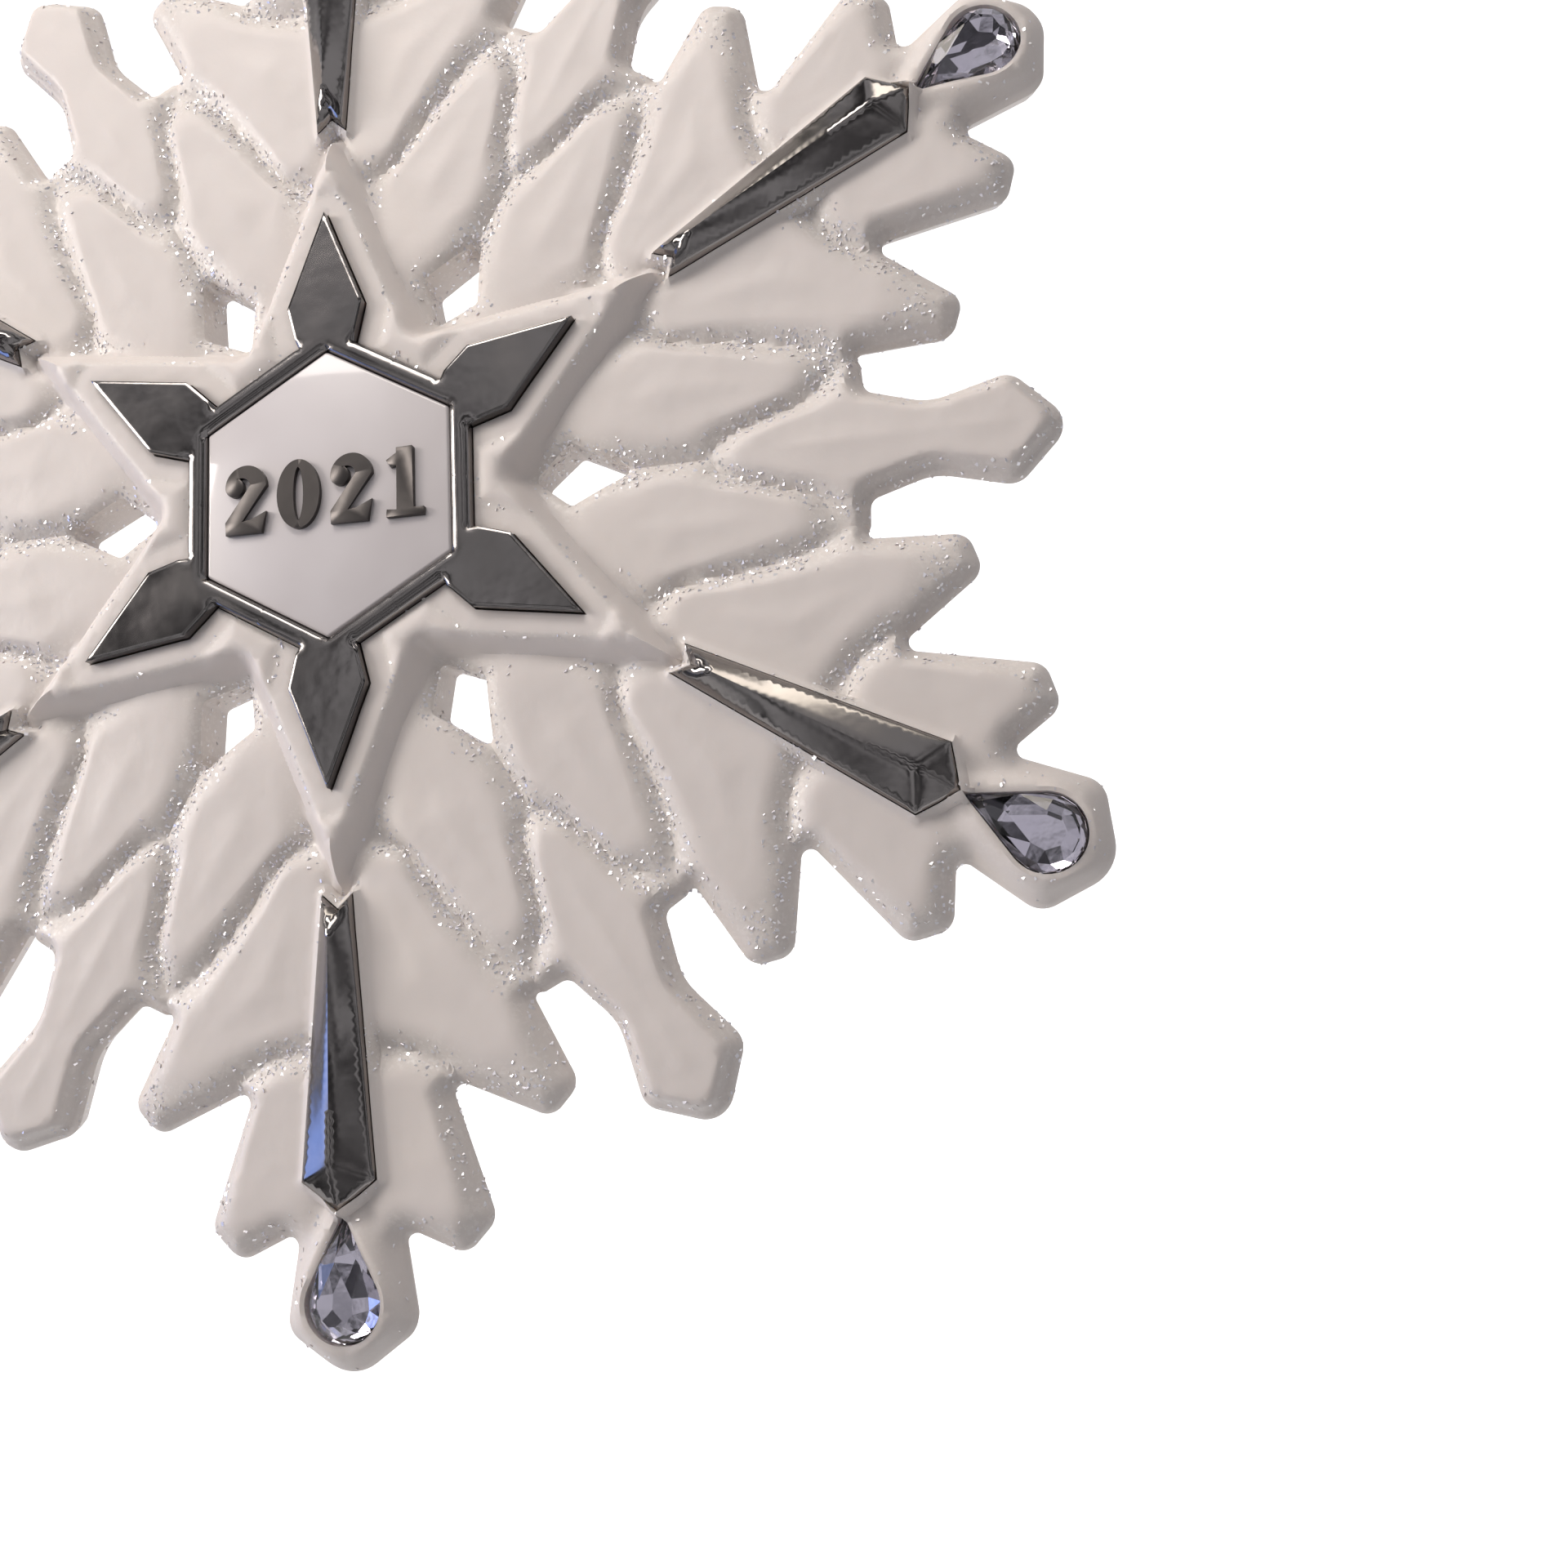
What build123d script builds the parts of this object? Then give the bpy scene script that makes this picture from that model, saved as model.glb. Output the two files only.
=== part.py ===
"""Hanging snowflake ornament: a white porcelain star with silver inlays, crystals and a dated centre tile.

The snowflake is drawn flat, back face on the XY plane, front towards +Z and its top arm along +Y,
then stood upright so that it hangs from a ring: front towards -Y, top arm towards +Z.
The origin is the inside of the top of the ring, where a hook or a ribbon bears.
"""

import os
from math import cos, radians, sin, sqrt, tan

from build123d import *

# Reach of the snowflake, from its centre
ARM_REACH = 56.2
KNOB_REACH = 48.3
ARMS = 6
HALF_SECTOR = 180 / ARMS

# Heights above the flat back
RIM_HEIGHT = 3.0
LEAF_HEIGHT = 4.3
STAR_HEIGHT = 5.1
RECESS_HEIGHT = 4.6
TILE_HEIGHT = 5.2
FRAME_HEIGHT = 5.5
SPEAR_EDGE_HEIGHT = 4.4
SPEAR_RIDGE_HEIGHT = 5.6

# Floors of the pockets, above the flat back
TILE_FLOOR = 2.9
SPEAR_FLOOR = 1.8
CRYSTAL_FLOOR = 2.0

# How far a cutting tool runs past the face it cuts, and how deep relief is rooted in the rim plate
CUT_PAST = 1.0
ROOT_DEPTH = 0.4

# Gaps between a part and its pocket
INLAY_GAP = 0.06
CRYSTAL_GAP = 0.08

# Head of each arm, which holds a crystal
HEAD_TIP_ROUND = 2.6
HEAD_SHOULDER_X = 4.4
HEAD_SHOULDER_DROP = 3.1
HEAD_SHOULDER_ROUND = 1.7
NECK_X = 3.45
NECK_DROP = 9.1
NECK_ROUND = 0.6

# Lobes and notches down each side of an arm, set back from the arm's tip
LOBE_1_TOP = (7.5, 7.3)
LOBE_1_SIDE = (9.5, 9.4)
NOTCH_1 = (6.5, 18.1)
LOBE_2_TOP = (13.2, 15.3)
LOBE_2_SIDE = (15.0, 17.3)
LOBE_ROUND = 1.3
NOTCH_ROUND = 0.6

# Knob arms between the main arms, across and set back from the knob's tip
NOTCH_2 = (6.1, 13.9)
NOTCH_2_ROUND = 0.35
BUMP = (5.5, 13.1)
BUMP_ROUND = 0.5
KNOB_BASE = (3.65, 13.0)
KNOB_BASE_ROUND = 0.8
KNOB_WAIST = (2.4, 8.9)
KNOB_WAIST_ROUND = 4.0
KNOB_SHOULDER = (3.75, 3.7)
KNOB_SHOULDER_ROUND = 1.5
KNOB_TIP_ROUND = 1.8

# Centre tile and the silver frame round it, with petals that stand out from the frame's band
TILE_APOTHEM = 8.55
FRAME_BAND = 1.35
FRAME_APOTHEM = TILE_APOTHEM + FRAME_BAND
FRAME_EDGE = 0.3
PETAL_BASE_X = 2.0
PETAL_SHOULDER = (2.65, 3.1)
PETAL_TIP = (0, 9.8)

# Raised star, across an arm and out from the frame's band
STAR_TIP = (0, 18.0)
STAR_NOTCH = (0, 3.4)
STAR_SLOPE = 20
RECESS_MARGIN = 1.4

# Windows through the porcelain, in the notches of the star, across and out from the frame's band
WINDOW = [(0, 10.5), (2.2, 6.1), (0, 3.5)]
WINDOW_ROUND = 0.45

# Leaves in relief on the right of a main arm: corners across it, back from its tip or out from the band
LEAF_SLOPE = 32
NECK_LEAF_FROM_TIP = [(3.1, 12.0), (7.4, 10.0), (6.4, 14.2), (5.4, 17.4), (2.9, 19.3)]
BROAD_LEAF_FROM_TIP = [(2.75, 22.2), (12.0, 19.1)]
BROAD_LEAF_FROM_BAND = [(9.0, 22.5), (5.3, 17.1), (3.2, 12.9), (1.7, 16.3)]

# Leaves beside and up the middle of a knob arm: corners given in the same two ways
KNOB_LEAF_FROM_TIP = [(4.4, 15.0)]
KNOB_LEAF_FROM_BAND = [(6.2, 18.3), (7.2, 14.5), (8.0, 11.5), (3.85, 8.1), (1.6, 12.1), (2.5, 17.2)]
SPINE_FROM_TIP = [(0, 1.6), (2.55, 3.7), (1.6, 8.9), (2.55, 14.3)]
SPINE_FROM_BAND = [(1.9, 20.4), (0, 15.1)]

# Silver spear on each main arm, its tail out from the frame's band and its head back from the arm's tip
SPEAR_TAIL = (1.0, 16.5)
SPEAR_NOTCH = (0, 17.4)
SPEAR_SHOULDER_X = 2.4
SPEAR_SHOULDER_DROP = 12.2
SPEAR_TIP_DROP = 10.4
SPEAR_RIDGE_FAR_HIP = 2.9
SPEAR_RIDGE_NEAR_HIP = 1.4

# Crystal on each main arm: a drop with its point inwards
CRYSTAL_LENGTH = 7.7
CRYSTAL_WIDTH = 4.75
CRYSTAL_END_DROP = 2.4
CRYSTAL_GIRDLE = 1.25
CRYSTAL_CROWN = 1.4
CRYSTAL_CROWN_SLOPE = 36
FOIL_THICKNESS = 0.15

# Numerals on the tile
NUMERAL_HEIGHT = 4.5
NUMERAL_WIDTH = 3.2
NUMERAL_GAP = 0.5
NUMERAL_RISE = 0.35
NUMERAL_THIN = 0.32
NUMERAL_THICK = 0.95
ZERO_WIDTH = 2.8
ONE_FOOT_WIDTH = 2.4
ONE_FLAG = [(0, 0), (-1.15, 0.75), (-0.95, 1.1), (0, 0.9)]
TWO_RADIUS = 1.35
TWO_HAIRLINE = 0.3
TWO_BALL_RADIUS = 0.55
TWO_FOOT_HEIGHT = 0.75
TWO_FOOT_SPUR = 1.3

# Porcelain hanging loop on the top arm, and the ring through it
LOOP_HOLE_RADIUS = 1.5
LOOP_WIRE_RADIUS = 1.3
LOOP_HEIGHT = 2.25
RING_HOLE_RADIUS = 4.5
RING_WIRE_RADIUS = 0.5
RING_GAP = 0.1

# Places that follow from the sizes
LOOP_CENTRE_REACH = ARM_REACH + LOOP_HOLE_RADIUS
BRIDGE_REACH = LOOP_CENTRE_REACH + LOOP_HOLE_RADIUS + LOOP_WIRE_RADIUS
BRIDGE_Z = -2 * RING_HOLE_RADIUS + RING_GAP + LOOP_WIRE_RADIUS
CENTRE_Z = BRIDGE_Z - BRIDGE_REACH
HANGING = Plane(origin=(0, LOOP_HEIGHT, CENTRE_Z), x_dir=(1, 0, 0), z_dir=(0, -1, 0))


def mirrored(half):
    """A closed outline from the points on its right side, listed from the top down."""
    left = [(-x, y) for x, y in reversed(half) if x > 0]
    return list(half) + left


def turned(point, degrees):
    """A point turned about the centre of the snowflake."""
    x, y = point
    c = cos(radians(degrees))
    s = sin(radians(degrees))
    return (x * c - y * s, x * s + y * c)


def from_tip(point):
    """A point given across an arm and set back from the arm's tip."""
    return (point[0], ARM_REACH - point[1])


def from_band(point):
    """A point given across an arm and out from the band of the silver frame."""
    return (point[0], FRAME_APOTHEM + point[1])


def from_knob_tip(point):
    """A point given across a knob arm and set back from its tip, seen from the main arm to its left."""
    return turned((-point[0], KNOB_REACH - point[1]), -HALF_SECTOR)


def polygon(corners, rounding=0.0):
    """A flat face with the given corners, sharp or rounded, listed either way round."""
    ahead = corners[1:] + corners[:1]
    clockwise = sum(x1 * y2 - x2 * y1 for (x1, y1), (x2, y2) in zip(corners, ahead)) < 0
    radii = rounding if isinstance(rounding, list) else [rounding] * len(corners)
    if clockwise:
        corners = corners[::-1]
        radii = radii[::-1]
    return make_face(FilletPolyline(*corners, radius=radii, close=True))


def block(outline, floor, top, slope=0.0):
    """A solid on an outline, from one height to another, whose sides may lean inwards."""
    return extrude(Pos(0, 0, floor) * outline, amount=top - floor, taper=slope)


def on_each_arm(shape):
    """One copy of a shape for each main arm, starting with the top one."""
    return [Rot(0, 0, -k * 360 / ARMS) * shape for k in range(ARMS)]


def stand(solid):
    """Stand a solid of the flat snowflake upright in its hanging place."""
    return HANGING.location * solid


def half_outline():
    """Corners of the rim and their rounding, from an arm's tip to the knob axis on its right."""
    return [
        (from_tip((0, 0)), HEAD_TIP_ROUND),
        (from_tip((HEAD_SHOULDER_X, HEAD_SHOULDER_DROP)), HEAD_SHOULDER_ROUND),
        (from_tip((NECK_X, NECK_DROP)), NECK_ROUND),
        (from_tip(LOBE_1_TOP), LOBE_ROUND),
        (from_tip(LOBE_1_SIDE), LOBE_ROUND),
        (from_tip(NOTCH_1), NOTCH_ROUND),
        (from_tip(LOBE_2_TOP), LOBE_ROUND),
        (from_tip(LOBE_2_SIDE), LOBE_ROUND),
        (from_knob_tip(NOTCH_2), NOTCH_2_ROUND),
        (from_knob_tip(BUMP), BUMP_ROUND),
        (from_knob_tip(KNOB_BASE), KNOB_BASE_ROUND),
        (from_knob_tip(KNOB_WAIST), KNOB_WAIST_ROUND),
        (from_knob_tip(KNOB_SHOULDER), KNOB_SHOULDER_ROUND),
        (from_knob_tip((0, 0)), KNOB_TIP_ROUND),
    ]


def rim_face():
    """The whole outline of the snowflake."""
    half = half_outline()
    corners = []
    for k in range(ARMS):
        turn = -k * 360 / ARMS
        down = [(turned(p, turn), r) for p, r in half]
        back = [(turned((-x, y), turn - 360 / ARMS), r) for (x, y), r in reversed(half[1:-1])]
        corners += down + back
    points = [p for p, r in corners]
    radii = [r for p, r in corners]
    return polygon(points, radii)


def star_face():
    """The raised star, with a tip on each main arm and a notch on each knob arm."""
    points = []
    for k in range(ARMS):
        turn = -k * 360 / ARMS
        points.append(turned(from_band(STAR_TIP), turn))
        points.append(turned(from_band(STAR_NOTCH), turn - HALF_SECTOR))
    return polygon(points)


def half_leaves():
    """The leaves on the right of a main arm: at its neck, on its broad lobe, and beside the knob arm."""
    neck_leaf = [from_tip(p) for p in NECK_LEAF_FROM_TIP]
    broad_leaf = [from_tip(p) for p in BROAD_LEAF_FROM_TIP] + [from_band(p) for p in BROAD_LEAF_FROM_BAND]
    knob_leaf = [from_knob_tip(p) for p in KNOB_LEAF_FROM_TIP]
    knob_leaf += [turned(from_band((-x, y)), -HALF_SECTOR) for x, y in KNOB_LEAF_FROM_BAND]
    return [neck_leaf, broad_leaf, knob_leaf]


def spine():
    """The leaf that runs up the middle of a knob arm, drawn along +Y."""
    far = [(x, KNOB_REACH - y) for x, y in SPINE_FROM_TIP]
    near = [from_band(p) for p in SPINE_FROM_BAND]
    return mirrored(far + near)


def relief_pad(points):
    """A leaf that rises out of the rim plate with sloping sides."""
    return block(polygon(points), RIM_HEIGHT - ROOT_DEPTH, LEAF_HEIGHT, LEAF_SLOPE)


def relief():
    """Every leaf of the snowflake."""
    pads = []
    for points in half_leaves():
        pad = relief_pad(points)
        pads += on_each_arm(pad)
        pads += on_each_arm(mirror(pad, about=Plane.YZ))
    return pads + on_each_arm(Rot(0, 0, -HALF_SECTOR) * relief_pad(spine()))


def window_points():
    """Corners of a window, drawn on a knob axis along +Y."""
    return mirrored([from_band(p) for p in WINDOW])


def window():
    """A window right through the porcelain, on the knob axis right of the top arm."""
    tool = block(polygon(window_points(), WINDOW_ROUND), -CUT_PAST, STAR_HEIGHT + CUT_PAST)
    return Rot(0, 0, -HALF_SECTOR) * tool


def frame_half_petal():
    """Corners of a petal, outside the frame's band, on the right of the top arm."""
    root = FRAME_APOTHEM / cos(radians(HALF_SECTOR))
    base_y = root - PETAL_BASE_X * tan(radians(HALF_SECTOR))
    return [from_band(PETAL_TIP), from_band(PETAL_SHOULDER), (PETAL_BASE_X, base_y)]


def frame_outline():
    """The outline of the silver frame: a hexagon with a petal on each corner."""
    hexagon = RegularPolygon(FRAME_APOTHEM, ARMS, major_radius=False, rotation=HALF_SECTOR)
    root = (PETAL_BASE_X, FRAME_APOTHEM)
    petal = polygon(mirrored(frame_half_petal() + [root]))
    shape = hexagon
    for copy in on_each_arm(petal):
        shape = shape + copy
    return shape


def silver_frame():
    """The silver frame, cast in one with its six petals."""
    opening = RegularPolygon(TILE_APOTHEM, ARMS, major_radius=False, rotation=HALF_SECTOR)
    body = block(frame_outline() - opening, TILE_FLOOR, FRAME_HEIGHT)
    top_edges = body.faces().sort_by(Axis.Z)[-1].edges()
    return chamfer(top_edges, FRAME_EDGE)


def recess():
    """The sunken bed round each petal, cut into the raised star."""
    bed = offset(polygon(mirrored(frame_half_petal())), amount=RECESS_MARGIN)
    return block(bed, RECESS_HEIGHT, STAR_HEIGHT + CUT_PAST)


def centre_pocket():
    """The pocket for the tile and the silver frame."""
    outline = offset(frame_outline(), amount=INLAY_GAP, kind=Kind.INTERSECTION)
    return block(outline, TILE_FLOOR, STAR_HEIGHT + CUT_PAST)


def tile():
    """The glazed hexagonal tile in the silver frame."""
    outline = RegularPolygon(TILE_APOTHEM - INLAY_GAP, ARMS, major_radius=False, rotation=HALF_SECTOR)
    return block(outline, TILE_FLOOR, TILE_HEIGHT)


def spear_half():
    """Corners of a spear on its right side, from the tip down to the notch between its tails."""
    return [
        (0, ARM_REACH - SPEAR_TIP_DROP),
        (SPEAR_SHOULDER_X, ARM_REACH - SPEAR_SHOULDER_DROP),
        from_band(SPEAR_TAIL),
        from_band(SPEAR_NOTCH),
    ]


def solid_between(points, faces):
    """A solid bounded by flat faces, each a list of numbers into the list of points."""
    sides = [Face(Wire.make_polygon([points[i] for i in face], close=True)) for face in faces]
    return Solid(Shell(sides))


def spear():
    """A silver spear with upright sides and a roof that rises to a ridge along its middle."""
    outline = mirrored(spear_half())
    count = len(outline)
    floor = [(x, y, SPEAR_FLOOR) for x, y in outline]
    eaves = [(x, y, SPEAR_EDGE_HEIGHT) for x, y in outline]
    ridge_far = (0, ARM_REACH - SPEAR_TIP_DROP - SPEAR_RIDGE_FAR_HIP, SPEAR_RIDGE_HEIGHT)
    ridge_near = (0, from_band(SPEAR_NOTCH)[1] + SPEAR_RIDGE_NEAR_HIP, SPEAR_RIDGE_HEIGHT)
    points = floor + eaves + [ridge_far, ridge_near]
    base = list(range(count))
    walls = [[i, (i + 1) % count, count + (i + 1) % count, count + i] for i in base]
    tip, shoulder, tail, notch, left_tail, left_shoulder, far, near = range(count, len(points))
    roof = [
        [tip, shoulder, far],
        [shoulder, near, far],
        [shoulder, tail, near],
        [tail, notch, near],
        [notch, left_tail, near],
        [left_tail, left_shoulder, near],
        [left_shoulder, far, near],
        [left_shoulder, tip, far],
    ]
    return solid_between(points, [base] + walls + roof)


def spear_pocket():
    """The pocket for a spear."""
    outline = offset(polygon(mirrored(spear_half())), amount=INLAY_GAP, kind=Kind.INTERSECTION)
    return block(outline, SPEAR_FLOOR, STAR_HEIGHT + CUT_PAST)


def drop_outline(gap=0.0):
    """A drop with its point towards the centre: two straight sides that meet a round end."""
    radius = CRYSTAL_WIDTH / 2 + gap
    end = ARM_REACH - CRYSTAL_END_DROP + gap
    centre = end - radius
    point = end - gap - CRYSTAL_LENGTH - gap / (CRYSTAL_WIDTH / CRYSTAL_LENGTH)
    reach = centre - point
    side = sqrt(reach**2 - radius**2)
    touch = (radius * side / reach, centre - radius**2 / reach)
    arc = ThreePointArc(touch, (0, end), (-touch[0], touch[1]))
    sides = Polyline((-touch[0], touch[1]), (0, point), touch)
    return make_face(Curve() + [arc, sides])


def crystal():
    """A flat-backed crystal: an upright girdle and a sloping crown."""
    base = CRYSTAL_FLOOR + FOIL_THICKNESS
    girdle_top = base + CRYSTAL_GIRDLE
    girdle = block(drop_outline(), base, girdle_top)
    crown = block(drop_outline(), girdle_top, girdle_top + CRYSTAL_CROWN, CRYSTAL_CROWN_SLOPE)
    return girdle + crown


def crystal_foil():
    """The mirror foil between a crystal and the floor of its pocket."""
    return block(drop_outline(), CRYSTAL_FLOOR, CRYSTAL_FLOOR + FOIL_THICKNESS)


def crystal_pocket():
    """The pocket for a crystal and its foil."""
    return block(drop_outline(CRYSTAL_GAP), CRYSTAL_FLOOR, STAR_HEIGHT + CUT_PAST)


def hanging_loop():
    """The round-sectioned porcelain loop on the tip of the top arm."""
    centre = Pos(0, LOOP_CENTRE_REACH, LOOP_HEIGHT)
    return centre * Torus(LOOP_HOLE_RADIUS + LOOP_WIRE_RADIUS, LOOP_WIRE_RADIUS)


def porcelain_body():
    """The white porcelain: rim plate, leaves, star and loop, less the windows and the pockets."""
    plate = block(rim_face(), 0, RIM_HEIGHT)
    star = block(star_face(), RIM_HEIGHT - ROOT_DEPTH, STAR_HEIGHT, STAR_SLOPE)
    body = plate + relief() + star + hanging_loop()
    cuts = on_each_arm(window()) + on_each_arm(recess()) + on_each_arm(spear_pocket())
    cuts += on_each_arm(crystal_pocket()) + [centre_pocket()]
    return body - cuts


def numeral_zero():
    """An upright oval with heavy sides and thin ends."""
    outer = Ellipse(ZERO_WIDTH / 2, NUMERAL_HEIGHT / 2)
    inner = Ellipse(ZERO_WIDTH / 2 - NUMERAL_THICK, NUMERAL_HEIGHT / 2 - NUMERAL_THIN)
    return outer - inner


def numeral_one():
    """A stem with a flag at its top and a slab foot."""
    half = NUMERAL_HEIGHT / 2
    stem = Rectangle(NUMERAL_THICK, NUMERAL_HEIGHT)
    foot = Pos(0, -half + NUMERAL_THIN / 2) * Rectangle(ONE_FOOT_WIDTH, NUMERAL_THIN)
    flag = polygon([(x, half - down) for x, down in ONE_FLAG])
    return stem + foot + flag


def numeral_two():
    """A bowl that ends in a ball, a stroke down to the left, and a heavy foot with a spur."""
    half = NUMERAL_HEIGHT / 2
    centre_y = half - TWO_RADIUS
    heavy = TWO_RADIUS - NUMERAL_THICK
    bowl = Pos(0, centre_y) * Circle(TWO_RADIUS)
    bowl -= Pos(-TWO_HAIRLINE, centre_y) * Circle(TWO_RADIUS - NUMERAL_THICK + TWO_HAIRLINE)
    bowl -= Pos(0, centre_y - TWO_RADIUS) * Rectangle(2 * TWO_RADIUS, 2 * TWO_RADIUS)
    ball = Pos(TWO_BALL_RADIUS - TWO_RADIUS, centre_y) * Circle(TWO_BALL_RADIUS)
    foot_top = TWO_FOOT_HEIGHT - half
    stroke = polygon([
        (TWO_RADIUS, centre_y),
        (heavy, centre_y),
        (-TWO_RADIUS, foot_top),
        (-heavy, foot_top),
    ])
    foot = polygon([
        (-TWO_RADIUS, -half),
        (TWO_RADIUS - NUMERAL_THIN, -half),
        (TWO_RADIUS, TWO_FOOT_SPUR - half),
        (heavy, foot_top),
        (-TWO_RADIUS, foot_top),
    ])
    return bowl + ball + stroke + foot


def numerals():
    """The four numerals, in a row across the tile."""
    shapes = [numeral_two(), numeral_zero(), numeral_two(), numeral_one()]
    names = ["numeral_two_left", "numeral_zero", "numeral_two_right", "numeral_one"]
    pitch = NUMERAL_WIDTH + NUMERAL_GAP
    solids = {}
    for k, (name, shape) in enumerate(zip(names, shapes)):
        across = (k - (len(names) - 1) / 2) * pitch
        solids[name] = block(Pos(across, 0) * shape, TILE_HEIGHT, TILE_HEIGHT + NUMERAL_RISE)
    return solids


def hang_ring():
    """The metal ring through the porcelain loop, square to the snowflake."""
    centre = Pos(0, 0, -RING_HOLE_RADIUS) * Rot(0, 90, 0)
    return centre * Torus(RING_HOLE_RADIUS + RING_WIRE_RADIUS, RING_WIRE_RADIUS)


def snowflake_parts():
    """Every piece of the hanging snowflake, by name, in its hanging place."""
    flat = {"porcelain_body": porcelain_body(), "date_tile": tile(), "silver_star_frame": silver_frame()}
    for k, piece in enumerate(on_each_arm(spear()), start=1):
        flat[f"spear_inlay_{k}"] = piece
    for k, piece in enumerate(on_each_arm(crystal()), start=1):
        flat[f"crystal_{k}"] = piece
    for k, piece in enumerate(on_each_arm(crystal_foil()), start=1):
        flat[f"crystal_foil_{k}"] = piece
    flat.update(numerals())
    return {name: stand(piece) for name, piece in flat.items()}


os.makedirs("parts", exist_ok=True)
parts = snowflake_parts()
parts["hang_ring"] = hang_ring()
for name, piece in parts.items():
    export_step(piece, f"parts/{name}.step")
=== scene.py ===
"""A hanging snowflake: its porcelain, silver, crystals and mica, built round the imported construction."""

from math import atan2, cos, pi, radians, sin, sqrt

import bmesh
import bpy
import numpy as np
from bpy.props import FloatProperty, FloatVectorProperty, IntProperty, PointerProperty
from mathutils import Matrix, Vector
from mathutils.geometry import delaunay_2d_cdt
from mathutils.noise import noise


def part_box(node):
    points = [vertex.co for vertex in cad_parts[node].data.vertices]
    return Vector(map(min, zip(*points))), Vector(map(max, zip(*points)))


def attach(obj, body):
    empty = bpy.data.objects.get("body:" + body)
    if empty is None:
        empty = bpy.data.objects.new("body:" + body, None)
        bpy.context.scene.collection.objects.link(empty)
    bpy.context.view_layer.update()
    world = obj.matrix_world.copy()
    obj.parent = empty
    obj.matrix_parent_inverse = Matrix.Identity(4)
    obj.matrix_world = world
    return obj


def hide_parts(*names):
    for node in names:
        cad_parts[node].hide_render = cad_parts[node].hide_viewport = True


bl_info = {
    "name": "Hanging snowflake",
    "version": (1, 0, 0),
    "blender": (4, 5, 0),
    "location": "View3D > Sidebar > Snowflake",
    "description": "Surfaces and finishes of a porcelain snowflake with silver inlays and crystals",
    "category": "Object",
}

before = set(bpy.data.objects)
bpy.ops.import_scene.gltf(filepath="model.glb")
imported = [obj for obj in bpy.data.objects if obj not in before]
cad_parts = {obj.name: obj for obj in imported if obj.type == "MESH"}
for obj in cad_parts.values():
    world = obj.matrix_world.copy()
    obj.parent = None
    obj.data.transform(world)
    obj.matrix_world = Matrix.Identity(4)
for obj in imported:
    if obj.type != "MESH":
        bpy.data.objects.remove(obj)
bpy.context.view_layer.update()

MM = 0.001
ARMS = 6
HALF_SECTOR = pi / ARMS

# Shapes are drawn laid flat, in mm: x to the right, y up the top arm, and height from the back to the front
CENTRE = (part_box("date_tile")[0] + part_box("date_tile")[1]) / 2
BACK_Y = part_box("porcelain_body")[1].y
STAND = Matrix((
    (MM, 0, 0, CENTRE.x),
    (0, 0, -MM, BACK_Y),
    (0, MM, 0, CENTRE.z),
    (0, 0, 0, 1),
))
LAY = STAND.inverted()

# Inward normals of the sides of the sector that is drawn, from an arm to halfway to the next arm
ON_ARM = (1.0, 0.0)
ON_HALFWAY = (-cos(HALF_SECTOR), sin(HALF_SECTOR))
SECTOR = [ON_ARM, ON_HALFWAY]
HALF_PLANE = [ON_ARM]

# Points nearer than this are one point, in mm
WELD = 1e-4
# Nearness at which the triangulation joins points, and twice the area of a triangle too thin to keep
JOINING = 1e-6
SLIVER = 1e-8
# A face is level if its normal leans less than this allows, and at a height if it is this near to it
LEVEL_NORMAL = 0.99
SAME_LEVEL = 0.02
# Level faces are a floor or a top of their own if they cover more than this, in square mm
BROAD = 20.0
# A pocket's wall leans out by this on either side of its outline
WALL_STEP = 0.01
# Points whose distances are worked out at once, to save memory
AT_ONCE = 1500
# Edges that turn less than the first are dissolved, and those that turn more than the second are softened
FLAT_TURN = radians(2)
CRISP_TURN = radians(12)
# Triangles of a cut stone that turn less than this are one facet
FACET_TURN = radians(1)


# ---------------------------------------------------------------- reading the frame


def srgb(text):
    """A linear colour from an sRGB hex value such as #D8D0CC."""
    channels = [int(text[i:i + 2], 16) / 255 for i in (1, 3, 5)]
    return [c / 12.92 if c <= 0.04045 else ((c + 0.055) / 1.055) ** 2.4 for c in channels]


def laid_flat(node):
    """A merged copy of a CAD node's mesh, laid flat on its back, in mm."""
    bm = bmesh.new()
    bm.from_mesh(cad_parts[node].data)
    bm.transform(LAY)
    bmesh.ops.remove_doubles(bm, verts=bm.verts, dist=10 * WELD)
    bm.normal_update()
    return bm


def is_flat(face, facing, level):
    """Whether a face lies level at one height, facing the front or the back."""
    height = face.calc_center_median().z
    return facing * face.normal.z > LEVEL_NORMAL and (level is None or abs(height - level) < SAME_LEVEL)


def levels(node, facing=1):
    """Heights of a node's broad level faces above the back, lowest first."""
    bm = laid_flat(node)
    area = {}
    for face in bm.faces:
        if is_flat(face, facing, None):
            height = round(face.calc_center_median().z, 2)
            area[height] = area.get(height, 0) + face.calc_area()
    bm.free()
    return sorted(height for height in area if area[height] > BROAD)


def outlines(node, level, facing=1):
    """Closed outlines of a node's level faces at one height, in mm, with the face on the left."""
    bm = laid_flat(node)
    flat = [f for f in bm.faces if is_flat(f, facing, level)]
    among_flat = set(flat)
    ahead = {}
    for face in flat:
        for loop in face.loops:
            if loop.link_loop_radial_next.face not in among_flat:
                ahead[loop.vert] = loop.link_loop_next.vert
    found = []
    while ahead:
        start, following = ahead.popitem()
        chain = [start]
        while following is not start:
            chain.append(following)
            following = ahead.pop(following)
        points = np.array([v.co.xy[:] for v in chain])
        found.append(points if facing > 0 else points[::-1])
    bm.free()
    return found


def area_of(loop):
    """Area inside a closed outline, negative where it runs clockwise."""
    x, y = loop.T
    return float(np.sum(x * np.roll(y, -1) - y * np.roll(x, -1)) / 2)


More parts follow.
